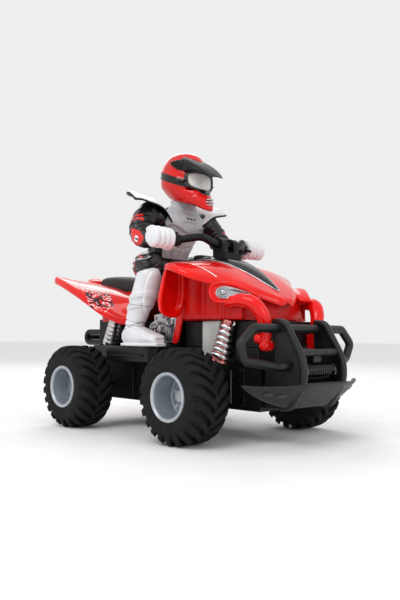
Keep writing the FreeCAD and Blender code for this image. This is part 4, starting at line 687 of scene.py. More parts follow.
def tray(points, depth, rims, push, direction):
    """A flat outline made a slab, with a rim round a face that is pushed back."""
    bm = bmesh.new()
    verts = bmesh.ops.create_circle(bm, cap_ends=True, segments=len(points), radius=1.0)["verts"]
    for vert, point in zip(verts, points):
        vert.co = point
    direction = Vector(direction)
    bm.normal_update()
    back = bm.faces[:][0]
    if back.normal.dot(direction) < 0:
        back.normal_flip()
    grown = bmesh.ops.extrude_face_region(bm, geom=[back], use_keep_orig=True)["geom"]
    face = [g for g in grown if isinstance(g, bmesh.types.BMFace)][0]
    bmesh.ops.translate(bm, vec=direction * depth, verts=face.verts)
    bm.normal_update()
    for rim in rims:
        bmesh.ops.inset_region(bm, faces=[face], thickness=rim, use_even_offset=True)
    bmesh.ops.translate(bm, vec=direction * -push, verts=face.verts)
    bmesh.ops.inset_region(bm, faces=[face], thickness=0.5, use_even_offset=True)
    return bm


flap = tray([Vector((20.0, y, z)) for y, z in FLAP], 4.0, (0.5, 1.9, 0.4), 2.6, (1, 0, 0))
piece("mudguard_flaps", twin(flap), RED, "front_fairing", replaces=False, level=2)


def sheet_height(rows, x, y):
    """Height over the deck of a sheet's top at a place, straight from its table of rows."""
    x = min(max(x, rows[0][0]), rows[-1][0])
    for a, b in zip(rows, rows[1:]):
        if a[0] <= x <= b[0]:
            t = (x - a[0]) / (b[0] - a[0])
            yo, yc, zo, zc, zm = (p + (q - p) * t for p, q in zip(a[1:], b[1:]))
            y = min(abs(y), yo)
            return zm + (zc - zm) * y / yc if y < yc else zc + (zo - zc) * (y - yc) / (yo - yc)


ARCH_Z, ARCH_Y = 58.2, 23.4     # the foot of the arch walls and their distance from the middle


def ribbed_wall():
    """The upright inner wall of one wheel arch."""
    bm = bmesh.new()
    bmesh.ops.create_grid(bm, x_segments=46, y_segments=4, size=1.0)
    ribs = ((27.5, 3.2, 1.5), (36.4, 1.0, 0.8), (39.8, 1.0, 0.8), (49.0, 1.3, 0.9), (54.0, 1.3, 0.9))
    for v in bm.verts:
        x = 42.4 + 20.6 * v.co.x
        share = (v.co.y + 1) / 2
        top = DECK + sheet_height(FRONT_ROWS, x, 23.0) - 1.2
        out = sum(high * math.exp(-((x - mid) / wide) ** 2 * 1.6) for mid, wide, high in ribs)
        v.co = (x, ARCH_Y + out - 0.4 * share, ARCH_Z + (top - ARCH_Z) * share)
    return bm


# The arch walls, nose wall and arch floor take the darker red, which is painted shade.
walls = piece("arch_walls", twin(ribbed_wall()), RED_IN_PAINTED_SHADE, "front_fairing", replaces=False, level=1,
              wall=1.2, outward=False)
bm = bmesh.new()
bmesh.ops.create_grid(bm, x_segments=14, y_segments=4, size=1.0)
for v in bm.verts:
    y, share = ARCH_Y * v.co.x, (v.co.y + 1) / 2
    x = 66.0 - 3.4 * (y / ARCH_Y) ** 2 - 1.5 * share
    top = DECK + sheet_height(FRONT_ROWS, x, y) - 1.4
    v.co = (x, y, ARCH_Z + (top - ARCH_Z) * share)
piece("nose_wall", bm, RED_IN_PAINTED_SHADE, "front_fairing", replaces=False, level=1, wall=1.2, outward=False)
bm = skin([upright((x, 0, 59.0), 23.2, 0.8, 12, 8.0) for x in (20.8, 24.0, 40.0, 60.0, 64.0)])
piece("arch_floor", bm, RED_IN_PAINTED_SHADE, "front_fairing", replaces=False)
tank = skin([upright((x, 0, 76.4 + lift), half, 12.4 + lift, 24, 4.5)
             for x, half, lift in ((-6.0, 9.6, -0.8), (-5.2, 11.0, -0.1), (-3.0, 11.8, 0.2),
                                   (6.0, 12.0, 0.3), (16.0, 12.0, 0.2), (21.8, 12.0, 0.0))])
piece("tank", tank, RED, "front_fairing", replaces=False, level=1)
print("arch walls:", [round(1000 * c, 1) for c in walls.dimensions])

# %% [markdown]
# ### Lamp pods, tusks and frame strips
#
# A six-cornered pod under each wing holds the lamp. It is another tray, on the slanting plane
# between the wing and the nose. Below it a glossy tusk curves down behind the guard, which is a
# tube with a changing radius, and it ends in two round knobs. A slim strip runs from each flap
# down to the footboard along the engine.

# %% Pods, tusks and strips
LAMP = Vector((54.0, 30.67, 71.0))
ALONG = Vector((12.5, -10.34, 0)).normalized()
OUT = Vector((-ALONG.y, ALONG.x, 0))


def on_lamp(u, v, w=0.0):
    """A place on the lamp's slanting plane: along it, up, and out of it."""
    return LAMP + ALONG * u + UP * v + OUT * w


POD = ((-5.2, 1.0), (-4.2, 3.8), (-0.8, 5.6), (4.0, 5.4), (10.0, 3.8), (15.5, 1.0), (19.8, -1.6),
       (19.6, -3.2), (15.0, -4.4), (6.0, -5.2), (-2.0, -5.4), (-4.4, -2.6))
pod = tray([on_lamp(u, v, -7.0) for u, v in POD], 8.6, (0.45, 1.0, 0.3), 1.0, OUT)
piece("lamp_pods", twin(pod), RED, "front_fairing", replaces=False, level=2)

line = smooth_path([(56, 26.6, 66.4), (63.5, 25.8, 67.6), (70.0, 23.8, 65.8), (73.2, 20.8, 59.8),
                    (73.2, 18.8, 52.6), (72.6, 18.6, 46.4)])
tusk = tube(line, [2.3 + 1.3 * math.sin(math.pi * min(1.0, 0.15 + 0.88 * n / len(line)))
                   for n in range(len(line))], 18)
knobs = []
for x, z, r in ((69.4, 49.4, 2.3), (72.9, 46.2, 2.6)):
    knob = lathe([(0, 3.0), (r * 0.6, 2.9), (r * 0.95, 2.2), (r, 0.5), (r, -2.6), (0, -2.6)], 24)
    knobs.append(moved(knob, (x, 18.6, z)))
piece("tusks", twin(joined([tusk] + knobs)), RED, "front_fairing", replaces=False, sharp=60)

strip = []
for x, z, half in ((13.6, 46.6, 1.6), (15.6, 48.0, 2.2), (18.0, 58.0, 2.2), (20.2, 68.0, 2.2),
                   (21.6, 72.0, 2.0)):
    strip.append(oval((x + 1.4, 24.2, z), half, 1.1, (0.25, 0, 1), (1, 0, 0), 12, 3.0))
piece("frame_strips", twin(skin(strip)), RED, "front_fairing", replaces=False, level=1)
print("lamp plane faces", [round(c, 2) for c in OUT])

# %% [markdown]
# ## Rear body shell
#
# The tail is the second red moulding: two wings that rise and spread to the back on each side of
# the seat, thick rounded edges, a hump behind the seat, and an upright skirt under each wing. The
# wings are skins over half sections that stop at the seat, so each is a closed shape. An open
# pan carries the seat, and two upright walls close the tail under it.

# %% Rear wings, skirts and tail
REAR_ROWS = (
    # the same columns as in the front roof's table
    (-80.6, 37.6, 24.0, 41.6, 40.4, 39.2),
    (-79.0, 38.6, 24.0, 41.4, 40.2, 38.9),
    (-72.0, 39.6, 24.0, 39.6, 39.0, 38.0),
    (-62.0, 40.4, 24.5, 36.0, 37.2, 36.8),
    (-50.0, 40.0, 25.0, 30.8, 34.4, 34.6),
    (-40.0, 38.8, 25.5, 25.4, 31.6, 32.4),
    (-33.0, 36.0, 25.0, 20.6, 29.0, 30.6),
    (-26.0, 30.5, 23.0, 16.2, 26.8, 29.6),
    (-20.0, 24.5, 20.0, 14.8, 26.2, 29.2),
)
wing = skin([sheet_ring(*row, skin_t=2.0, lip=4.4, inner=11.8) for row in REAR_ROWS])
piece("rear_wings", twin(wing), RED, "rear_fairing", level=2)

SKIRT_Z = 58.3                  # the foot of the skirts
skirt = bmesh.new()
bmesh.ops.create_grid(skirt, x_segments=24, y_segments=3, size=1.0)
for v in skirt.verts:
    x, share = -37.5 + 20.0 * v.co.x, (v.co.y + 1) / 2
    turn = max(0.0, (-50.0 - x) / 8.0)
    top = DECK + sheet_height(REAR_ROWS, x, 20.0) - 1.2
    v.co = (x, 20.0 - 5.0 * turn ** 2 + 0.8 * share, SKIRT_Z + (top - SKIRT_Z) * share)
# The skirts, seat pan and tail walls take the darker red, which is painted shade.
piece("tail_skirts", twin(skirt), RED_IN_PAINTED_SHADE, "rear_fairing", replaces=False, level=1, wall=1.4,
      outward=False)

hump = skin([oval((x, 0, z), half, high, (1, 0, 0.12), (0, 1, 0), 20, 3.2)
             for x, half, z, high in ((-93.6, 4.4, 86.2, 0.9), (-92.6, 5.4, 86.2, 1.5),
                                      (-88.0, 7.6, 86.0, 2.2), (-82.0, 10.6, 84.8, 2.7),
                                      (-77.0, 12.4, 83.6, 3.1), (-73.0, 12.6, 82.6, 2.8))])
piece("tail_hump", hump, RED, "rear_fairing", replaces=False, level=1)
tub = []
BRIM_Z, PAN_WALL = 76.5, 1.2    # the top edge of the seat pan and its thickness
for x, half, low in ((-70.0, 12.4, 70.5), (-68.5, 13.0, 69.6), (-40.0, 13.0, 69.6), (-12.0, 13.0, 69.6),
                     (-10.5, 12.4, 70.5)):
    outline = [(-half, BRIM_Z), (-half, low + 0.8), (-half + 0.8, low), (half - 0.8, low), (half, low + 0.8),
               (half, BRIM_Z), (half - PAN_WALL, BRIM_Z), (half - PAN_WALL, low + 1.6),
               (PAN_WALL - half, low + 1.6), (PAN_WALL - half, BRIM_Z)]
    tub.append([Vector((x, y, z)) for y, z in outline])
piece("seat_pan", skin(tub), RED_IN_PAINTED_SHADE, "rear_fairing", replaces=False)
tail = []
for z, wide, slices in ((75.8, 12.9, ((-71.6, 0.6), (-71.0, 0.0), (-69.6, 0.0))),
                        (64.4, 17.6, ((-57.9, 0.6), (-57.3, 0.0), (-55.6, 0.0)))):
    tail.append(skin([upright((x, 0, z), wide - inset, 6.1 - inset, 24, 8.0) for x, inset in slices]))
piece("tail_walls", joined(tail), RED_IN_PAINTED_SHADE, "rear_fairing", replaces=False)
print("rear wing sections:", len(REAR_ROWS))

# %% [markdown]
# ## Seat and bonnet cover
#
# The seat is a narrow saddle moulded in black with a leather grain, high in front and sunk
# between the wings. The bonnet cover is a smooth black blade that tapers to a point between the
# lamps, framed by a thin silver line. The line is a fine rod laid along the blade's edge.

# %% Seat and bonnet cover
SEAT_ROWS = ((-73.8, 7.6, 81.4, 85.2), (-72.0, 9.2, 79.0, 87.0), (-66.0, 10.8, 77.0, 87.8),
             (-52.0, 11.3, 74.4, 87.2), (-42.0, 11.3, 73.0, 86.0), (-30.0, 11.2, 72.4, 84.6),
             (-20.0, 11.2, 72.0, 84.6), (-12.0, 10.6, 72.0, 85.6), (-8.4, 9.4, 72.2, 85.0))
saddle = skin([upright((x, 0, (low + high) / 2), half, (high - low) / 2, 24, 4.0)
               for x, half, low, high in SEAT_ROWS])
piece("saddle", saddle, SEAT, "seat", level=2)

COVER_ROWS = ((8.2, 7.4, 44.6, 46.9), (10.0, 8.4, 44.8, 47.8), (16.0, 10.0, 45.4, 48.6),
              (24.0, 10.6, 45.4, 48.5), (31.0, 10.4, 44.6, 47.4), (38.0, 9.2, 42.6, 45.8),
              (45.0, 7.6, 39.6, 42.7), (51.0, 6.0, 36.6, 39.4), (56.0, 4.4, 33.6, 36.0),
              (61.0, 2.4, 30.2, 32.0), (64.6, 0.8, 28.0, 29.2))


def cover_ring(x, half, edge, top):
    outline = [(0, top), (half * 0.4, top - 0.1), (half * 0.68, top - 0.7), (half * 0.9, edge + 0.9),
               (half, edge + 0.2), (half, edge - 2.2), (0, edge - 2.4)]
    return mirrored_ring([Vector((x, y, DECK + z)) for y, z in outline])


cover = skin([cover_ring(*row) for row in COVER_ROWS])
piece("bonnet_blade", cover, GLOSS_BLACK, "hood_cover", level=2)
dash = skin([upright((x, 0, 93.2), 5.3, high, 16, 5.0)
             for x, high in ((8.9, 1.4), (9.6, 1.8), (14.0, 1.8), (14.8, 1.3))])
piece("key_block", dash, BLACK, "hood_cover", replaces=False, level=1)
line = [(x, half + 0.25, DECK + edge + 0.35) for x, half, edge, high in COVER_ROWS[2:]]
loop = line + [(65.6, 0.0, DECK + 27.6)] + [(x, -y, z) for x, y, z in reversed(line)]
piece("silver_line", tube(loop, 0.42, 8), SILVER, "hood_cover", replaces=False, level=1)

# %% [markdown]
# ## Headlamps
#
# A lamp is a silver teardrop in the pod's recess: a flat reflector with a raised border and a
# round bezel with a dome at its wide end. It is outlined once, inset for the border, and the
# bezel is lathe work turned onto the lamp's plane.

# %% Headlamps
TEAR = ((-1.5, -0.2), (-0.9, 1.5), (0.8, 2.6), (3.0, 3.0), (6.0, 2.5), (9.5, 1.5), (13.0, 0.4),
        (15.8, -0.7), (15.2, -1.2), (11.0, -1.9), (7.0, -2.5), (3.0, -2.9), (0.4, -2.5), (-1.1, -1.4))
lamp = tray([on_lamp(u, v, -0.2) for u, v in TEAR], 1.5, (0.25, 0.5), 0.5, OUT)
face_on = Matrix((ALONG, OUT, UP)).transposed().to_4x4()
bezel = lathe([(0.0, 1.9), (0.8, 1.8), (1.3, 1.4), (1.45, 1.0), (1.7, 1.0), (1.8, 1.5), (2.2, 1.5),
               (2.35, 0.9), (2.35, 0.0)], 32)
bmesh.ops.transform(bezel, matrix=Matrix.Translation(on_lamp(2.2, 0.0, 0.6)) @ face_on, verts=bezel.verts)
piece("lamps", twin(joined([lamp, bezel])), SILVER, "headlights", sharp=45)
print("lamp centres at", [round(c, 1) for c in on_lamp(2.2, 0)])

# %% [markdown]
# ## Chassis, deck and towers
#
# The lower hull, the deck with its footboards and the two towers are plain satin mouldings whose
# shape the engineering model already has. A real mould leaves a small radius on every edge, and
# that thin highlight is what makes a plastic box look moulded. So each one is a copy of the
# node's mesh with its triangles merged and a fine bevel on its edges.

# %% Edges of the plain mouldings
for node, paint, edge in (("chassis_tub", BLACK, 0.35), ("chassis_deck", BLACK, 0.4),
                          ("front_tower", BLACK, 0.5), ("rear_tower", BLACK, 0.6),
                          ("battery_door", BLACK, 0.25), ("handlebar_riser", BLACK, 0.5),
                          ("side_plates", GREY_CAST, 0.35)):
    made = piece(node + "_moulding", cad_copy(node), paint, node, edge=edge, outward=False)
print("softened:", made.name, len(made.data.polygons), "faces")

# %% [markdown]
# ### Panels, mats and screws on the hull
#
# The nose has a framed panel on each side, the footboards have a raised ribbed mat under the
# boots, and the hull's flank has upright stiffening ribs. They break up large flat walls. Panels
# are trays again; mats and ribs are rows of small rounded bars.

# %% Panels, mats and flank ribs
def bar(start, end, half, high, way=(0, 0, 1), count=8):
    """A rounded bar with closed, slightly smaller ends."""
    start, end = Vector(start), Vector(end)
    along = (end - start).normalized()
    rings = []
    for place, grow in ((start, 0.6), (start + along * 0.35, 1.0), (end - along * 0.35, 1.0), (end, 0.6)):
        rings.append(oval(place, half * grow, high * grow, along, Vector(way).cross(along), count, 4.0))
    return skin(rings)


trim = []
for x0, x1, z0, z1, y in ((51.5, 61.0, 17.6, 34.8, 19.4), (30.0, 40.0, 38.6, 43.6, 20.4)):
    outline = [Vector((x, y, z)) for x, z in ((x0, z0), (x1, z0), (x1, z1), (x0, z1))]
    trim.append(tray(outline, 0.9, (0.35, 0.5), 0.5, (0, 1, 0)))
for x in (-58.0, -50.0, -18.0, -6.0, 6.0):
    trim.append(bar((x, 25.1, 17.0), (x, 25.1, 35.6), 0.7, 0.5, (0, 1, 0)))
for x in (-13.0, -9.0, -5.0, -1.0, 3.0, 7.0):
    trim.append(bar((x, 29.4, 45.1), (x, 37.2, 45.1), 0.7, 0.28))
piece("hull_trim", twin(joined(trim)), GLOSS_BLACK, "chassis_deck", replaces=False, edge=0.15)
paint_node("drive_chains", CHROME)
print("trim pieces per side:", len(trim))

# %% [markdown]
# ## Front guard
#
# The guard is tough black nylon with a fine spark grain. Two side plates carry a thick rounded
# rib along their front edge, two bars and the winch sit between them, and a scooped skid plate
# sweeps out to a point on each side. The plates are outlines given a thickness, the rib is a
# tube, and the skid is a skin over sections across the toy, rounded by subdivision.

# %% Guard plates, ribs and skid
PLATE = ((70.2, 37.8), (76.4, 38.8), (75.0, 57.2), (81.6, 57.8), (91.8, 40.6), (92.6, 29.6),
         (84.0, 17.6), (70.2, 17.2))
RIB = ((75.6, 57.0), (81.4, 57.0), (91.6, 40.2), (92.2, 30.0), (84.6, 18.6), (79.0, 18.2))
plates = skin([[Vector((x, y, z)) for x, z in PLATE] for y in (14.0, 16.6)])
rib = tube(smooth_path([(x, 15.2, z) for x, z in RIB], 4), 1.75, 12, across=(0, 1, 0), power=3.0)
piece("guard_plates", twin(joined([plates, rib])), GUARD, "bumper_guard", edge=0.5)

SKID = ((0.0, 93.4, 29.6, 84.0, 17.2), (8.0, 93.4, 29.6, 84.0, 17.2), (13.5, 93.3, 29.6, 84.0, 17.2),
        (17.0, 92.6, 29.4, 83.6, 17.8), (24.0, 90.4, 28.8, 82.6, 19.4), (31.0, 87.4, 28.6, 81.6, 21.8),
        (37.0, 84.4, 28.8, 80.8, 24.6), (41.0, 82.0, 29.2, 80.4, 27.2), (42.6, 80.9, 29.4, 80.2, 28.6))
halves = []
for y, xt, zt, xb, zb in SKID:
    bulge = 1.1 * (zt - zb) / 12.0
    outline = [(xt, zt), (xt + 0.5, zt - 0.8), ((xt * 2 + xb) / 3 + bulge, (zt * 2 + zb) / 3),
               ((xt + xb * 2) / 3 + bulge, (zt + zb * 2) / 3), (xb, zb), (xb - 1.6, zb + 0.6),
               ((xt + xb * 2) / 3 - 1.6, (zt + zb * 2) / 3 + 0.6),
               ((xt * 2 + xb) / 3 - 1.7, (zt * 2 + zb) / 3 + 0.4), (xt - 2.2, zt - 0.2),
               (xt - 1.0, zt + 0.4)]
    halves.append([Vector((x, y, z)) for x, z in outline])
across = [[Vector((p.x, -p.y, p.z)) for p in ring] for ring in reversed(halves[1:])] + halves
piece("guard_skid", skin(across), GUARD, "bumper_guard", replaces=False, level=2)

BAR_X, BAR_Z = 88.4, 43.2       # the cross bar's axis
cross = [tube([(BAR_X, y, BAR_Z) for y in ends], 1.85, 18) for ends in ((-14.2, -5.4), (5.4, 14.2))]
cross += [tube([(BAR_X, y, BAR_Z) for y in (-5.6, -5.0, 5.0, 5.6)], [1.6, 1.65, 1.65, 1.6], 18),
          bar((86.4, -3.2, 40.2), (86.4, 3.2, 40.2), 2.2, 1.9)]
piece("guard_cross_bar", joined(cross), GUARD, "bumper_guard", replaces=False, edge=0.2)

slots = [bar(start, end, 1.0, 0.3, (0.77, 0, -0.64), 16) for start, end in (
    ((87.7, 22.2, 24.0), (86.3, 27.2, 24.5)), ((85.6, 29.2, 24.9), (84.3, 33.4, 25.6)))]
piece("skid_marks", twin(joined(slots)), GLOSS_BLACK, "bumper_guard", replaces=False)
rails = piece("guard_rails", cad_copy("bumper_rails"), GUARD, "bumper_rails", outward=False, sharp=50)
print("guard width in mm:", round(1000 * rails.dimensions.y, 1))

# %% [markdown]
# ### Winch drum
#
# Between the plates sits a winch drum with a cable laid side by side on it, all moulded in gloss
# black. The cable is one small circle swept in a screw, which the spin operator does when each
# step also moves it sideways. Two cheeks and a core close it.

# %% Winch drum
def coil(radius, wire, turns, pitch, steps=18, count=8):
    """A screw of round wire about the Y axis, from y = 0 upwards."""
    bm = bmesh.new()
    verts = bmesh.ops.create_circle(bm, segments=count, radius=wire)["verts"]
    bmesh.ops.translate(bm, vec=(radius, 0, 0), verts=verts)
    edges = list(dict.fromkeys(e for v in verts for e in v.link_edges))
    total = int(round(turns * steps))
    bmesh.ops.spin(bm, geom=verts + edges, cent=(0, 0, 0), axis=(0, 1, 0), dvec=(0, pitch / steps, 0),
                   angle=math.tau * turns, steps=total)
    ends = [e for e in bm.edges if e.is_boundary]
    bmesh.ops.holes_fill(bm, edges=ends, sides=count)
    return bm


drum = [lathe([(0, -11.7), (3.7, -11.7), (3.8, -11.2), (3.8, -10.2), (3.6, -9.9), (1.7, -9.8),
               (1.7, 9.8), (3.6, 9.9), (3.8, 10.2), (3.8, 11.2), (3.7, 11.7), (0, 11.7)], 32)]
drum.append(moved(coil(2.75, 0.62, 11, 1.72, 20), (0, -9.5, 0)))
piece("winch", moved(joined(drum), (87.4, 0, 34.6)), GLOSS_BLACK, "winch_drum")

# %% [markdown]
# ## Suspension
#
# The front springs are the brightest parts: vacuum-plated cones of thick wire that widen towards
# the wheel, round a core of red-tinted plating that ends in a cup. The screw is tapered after it
# is swept. The rear legs are smoother silver cones with thin red rings. Plating takes paint lines
# well, so those rings are paint, laid on in bands across the leg's own direction.

# %% Springs and rear legs
def leg_frame(foot, top):
    """The matrix that stands a mesh made along Y on a leg's line."""
    way = (Vector(top) - Vector(foot)).normalized()
    side = way.cross(Vector((0, 1, 0))).normalized()
    return Matrix.Translation(foot) @ Matrix((side, way, side.cross(way))).transposed().to_4x4()


def red_rings(tree, spot, under):
    for n in range(7):
        mask = slab(tree, spot, (0.36, 0.02, 0.93), 30.0 + 2.45 * n, 0.16)
        under = laid(tree, mask, under, "#B4332C")
    return under


SPRING_CORE = plated("red_tinted_plating", "#B25450", "#D98F8B", 0.22, 1.2, 0.02)
LEG = plated("silver_leg_red_rings", "#BFC0C3", "#DCDDDF", 0.26, 1.0, 0.02, red_rings)

foot, top = Vector((49.2, 25.4, 38.4)), Vector((54.0, 23.6, 58.4))
length = (top - foot).length
spring = moved(coil(3.1, 1.22, 6.4, 2.82, 24, 12), (0, 1.3, 0))
for v in spring.verts:
    share = v.co.y / length
    ring = math.hypot(v.co.x, v.co.z)
    scale = (ring + 2.2 * (0.5 - share)) / ring
    v.co.x *= scale
    v.co.z *= scale
core = lathe([(0, 0), (5.3, 0.0), (5.4, 0.6), (4.8, 1.1), (4.2, 1.4), (3.7, 4.0), (1.9, length - 2.6),
              (2.6, length - 2.2), (2.75, length - 0.4), (2.4, length), (0, length)], 28)
for name, mesh, paint in (("spring_wire", spring, CHROME), ("spring_core", core, SPRING_CORE)):
    bmesh.ops.transform(mesh, matrix=leg_frame(foot, top), verts=mesh.verts)
    piece(name, twin(mesh), paint, "front_shocks", replaces=(name == "spring_wire"), sharp=60)

foot, top = Vector((-44.6, 21.8, 45.2)), Vector((-38.6, 22.0, 61.4))
length = (top - foot).length
profile = [(0, 0), (3.6, 0.0), (3.95, 0.5)]
for n in range(6):
    base = 1.0 + n * (length - 2.6) / 6
    profile += [(3.94 - 0.15 * n, base + 0.2), (4.02 - 0.15 * n, base + 0.9),
                (3.98 - 0.15 * n, base + 1.7), (3.84 - 0.15 * n, base + 2.1)]
profile += [(2.9, length - 0.6), (2.6, length), (0, length)]
leg = lathe(profile, 32)
bmesh.ops.transform(leg, matrix=leg_frame(foot, top), verts=leg.verts)
piece("rear_legs", twin(leg), LEG, "rear_shocks", sharp=70)
print("spring length in mm:", round(length, 1))

# %% [markdown]
# ## Engine covers
#
# Each flank shows a silver-painted engine cover with embossed machinery: a big round case with a
# ring and a bolt circle, a small cap, curved cooling slots, fins and screws. The base is the
# engineering shape with soft edges. The details are lathe work and bent rods half sunk into it.

# %% Engine covers
piece("engine_case", cad_copy("engine_covers"), SILVER, "engine_covers", edge=0.35, outward=False)
FACE_Y = 19.9                   # the flat of the case
CASE_X, CASE_Z = -2.6, 53.6     # the middle of its big round cover
cover = lathe([(4.7, 0.0), (4.75, 2.6), (4.4, 2.9), (3.9, 2.8), (3.8, 2.2), (3.2, 2.1), (2.7, 2.3),
               (2.4, 3.0), (1.6, 3.2), (1.2, 2.7), (0.0, 2.6)], 40)
parts = [moved(cover, (CASE_X, FACE_Y, CASE_Z))]
parts.append(moved(lathe([(2.7, 0.0), (2.7, 1.3), (2.3, 1.6), (1.8, 1.5), (1.5, 1.0), (0.0, 1.1)], 28),
                   (7.6, FACE_Y, 58.2)))
for u, v in on_circle(8, 3.35, 10):
    parts.append(moved(lathe([(0.0, 2.75), (0.42, 2.7), (0.5, 2.2), (0.5, 1.6), (0.0, 1.6)], 10),
                       (CASE_X + u, FACE_Y, CASE_Z + v)))
for radius in (7.0, 8.6, 10.2):
    bend = [(CASE_X + radius * math.cos(math.radians(a)), FACE_Y + 0.1,
             51.6 + radius * 0.9 * math.sin(math.radians(a))) for a in range(-12, 52, 8)]
    parts.append(tube(bend, 0.42, 8, across=(0, 1, 0)))
for n in range(4):
    parts.append(bar((4.6 + 2.3 * n, FACE_Y, 48.4), (5.4 + 2.3 * n, FACE_Y, 51.6), 0.45, 0.5, (0, 1, 0)))
for x, z in ((-4.6, 60.2), (12.6, 48.6), (14.6, 59.4), (1.6, 61.0), (12.2, 54.0)):
    parts.append(moved(lathe([(0.0, 0.8), (0.6, 0.75), (0.85, 0.4), (0.85, -0.3), (0.0, -0.3)], 12),
                       (x, FACE_Y, z)))
piece("engine_details", twin(joined(parts)), SILVER, "engine_covers", replaces=False, sharp=50)
print("engine details per side:", len(parts))

# %% [markdown]
# ## Handlebar, grips and grab bar
#
# The bar is one bent tube. Each grip is a sleeve with fine rings, held by a clamp block with a
# lever, and it ends in a flange. Lathe work gives the sleeve, and the lever is a flat
# tube that follows the fingers. The grab bar at the tail is the engineering tube, smoothed.

# %% Handlebar and grab bar
bars = []
GRIP_X, GRIP_Z = 16.0, 100.0    # the grips' axis
RISER_X, RISER_Z = 29.0, 98.8   # the middle of the bar, on its riser
way = [(GRIP_X, 40.8, GRIP_Z), (GRIP_X, 26.4, GRIP_Z), (GRIP_X + 10.6, 15.2, GRIP_Z + 2.4),
       (RISER_X, 8.8, RISER_Z), (RISER_X, 0.0, RISER_Z)]
path = smooth_path(way + [(x, -y, z) for x, y, z in reversed(way[:-1])], 6)
bars.append(tube(path, 2.0, 16))
sides = []
sleeve = [(0.0, 27.2), (2.7, 27.2), (2.85, 27.6), (2.7, 28.0), (2.2, 28.2)]
for n in range(9):
    y = 28.6 + 1.24 * n
    sleeve += [(2.12, y), (2.3, y + 0.25), (2.3, y + 0.85), (2.12, y + 1.1)]
sleeve += [(2.3, 40.0), (2.3, 40.7), (1.8, 41.0), (0.0, 41.0)]
sides.append(moved(lathe(sleeve, 20), (GRIP_X, 0, GRIP_Z)))
sides.append(bar((GRIP_X + 0.6, 22.8, GRIP_Z + 0.4), (GRIP_X + 0.6, 26.8, GRIP_Z + 0.4), 3.0, 3.1))
sides.append(moved(lathe([(0, 1.2), (1.1, 1.1), (1.3, 0.6), (1.3, -0.6), (0, -0.6)], 14),
                   (GRIP_X + 0.6, 24.8, GRIP_Z + 3.6), 90, "X"))
lever = smooth_path([(GRIP_X + 3.2, 25.0, GRIP_Z - 0.4), (GRIP_X + 4.9, 26.4, GRIP_Z - 0.7),
                     (GRIP_X + 5.4, 28.4, GRIP_Z - 1.0)])
sides.append(tube(lever, 0.75, 10))
bars.append(twin(joined(sides)))
piece("bars", joined(bars), BLACK, "handlebar", edge=0.2, sharp=50)
bolt = moved(lathe([(0, 0.9), (1.4, 0.8), (1.7, 0.4), (1.7, -0.4), (0, -0.4)], 6),
             (RISER_X, 6.1, RISER_Z))
rod = tube([(RISER_X, y, 95.0) for y in (-2.6, 2.6)], 1.3, 14)
bolts = joined([bolt, moved(bolt.copy(), stretch=(1, -1, 1)), rod])
piece("riser_bolts", bolts, GLOSS_BLACK, "handlebar_riser", replaces=False)
piece("rear_grab_bar", cad_copy("grab_bar"), BLACK, "grab_bar", outward=False, sharp=50)
print("bar path points:", len(path))

# %% [markdown]
# ## The rider: how the figure is shaped
#
# The figure is soft-looking but hard: PVC cast in smooth moulds, with folds, straps and fingers
# that flow into each other. Boxes with bevels can't give that. So each part of the figure starts
# as a few overlapping closed forms, balls and limbs swept through measured radii. A fine voxel
# grid melts them into one skin, and the skin is relaxed. Then folds, belts and grooves are carved
# by moving each vertex along its normal by a height that depends on where it is.

# %% Balls, limbs, melting and carving
def even(p, q, r, s, t):
    """A number on the even curve from q to r, with p before them and s after them."""
    return 0.5 * (2 * q + (r - p) * t + (2 * p - 5 * q + 4 * r - s) * t * t
                  + (3 * q - p - 3 * r + s) * t ** 3)


def fair(rows, steps=4):
    """More rows between the given ones, on an even curve through them."""
    out, last = [], len(rows) - 1
    for n in range(last):
        near = [rows[min(max(n + k, 0), last)] for k in (-1, 0, 1, 2)]
        for t in (k / steps for k in range(steps)):
            out.append(tuple(even(*four, t) for four in zip(*near)))
    return out + [tuple(rows[-1])]


def ball(x, y, z, a, b=None, c=None):
    bm = bmesh.new()
    bmesh.ops.create_uvsphere(bm, u_segments=32, v_segments=20, radius=1.0)
    return moved(bm, (x, y, z), stretch=(a, b or a, c or a))


def limb(rows, steps=5, count=24):
    """A limb through rows of x, y, height over the deck and radius, with round ends."""
    rows = fair(rows, steps)
    ends = [ball(x, y, z + DECK, r) for x, y, z, r in (rows[0], rows[-1])]
    rod = tube([(x, y, z + DECK) for x, y, z, r in rows], [row[3] for row in rows], count)
    return joined([rod] + ends)


def fused(bm, voxel=0.42, rounds=4):
    """Melts overlapping closed forms into one skin on a grid of this many mm, then relaxes it."""
    spare = bpy.data.meshes.new("spare")
    bm.to_mesh(spare)
    bm.free()
    lump = bpy.data.objects.new("lump", spare)
    bpy.context.collection.objects.link(lump)
    melt = lump.modifiers.new("melt", "REMESH")
    melt.mode, melt.voxel_size = "VOXEL", voxel
    bpy.context.view_layer.update()
    melted = bpy.data.meshes.new_from_object(lump.evaluated_get(bpy.context.evaluated_depsgraph_get()))
    whole = bmesh.new()
    whole.from_mesh(melted)
    bpy.data.objects.remove(lump)
    for mesh in (spare, melted):
        bpy.data.meshes.remove(mesh)
    for n in range(rounds):
        bmesh.ops.smooth_vert(whole, verts=whole.verts, factor=0.5, use_axis_x=True, use_axis_y=True,
                              use_axis_z=True)
    return whole


def carved(bm, height):
    """Moves every vertex along its normal by a height in mm."""
    bm.normal_update()
    shifts = [v.normal * height(v.co) for v in bm.verts]
    for v, shift in zip(bm.verts, shifts):
        v.co += shift
    return bm


def rise(value, start, end):
    """0 before the start, 1 after the end and a smooth step between them."""
    t = min(1.0, max(0.0, (value - start) / (end - start)))
    return t * t * (3 - 2 * t)


def ridge(value, centre, half, soft):
    """1 within half of the centre, fading to 0 over the soft distance."""
    return 1 - rise(abs(value - centre), half, half + soft)


def folds(place, size, depth):
    """Shallow creases like those of pressed cloth."""
    return depth * (noise.noise(place / size) - 0.6 * abs(noise.noise(place / size * 1.9)))
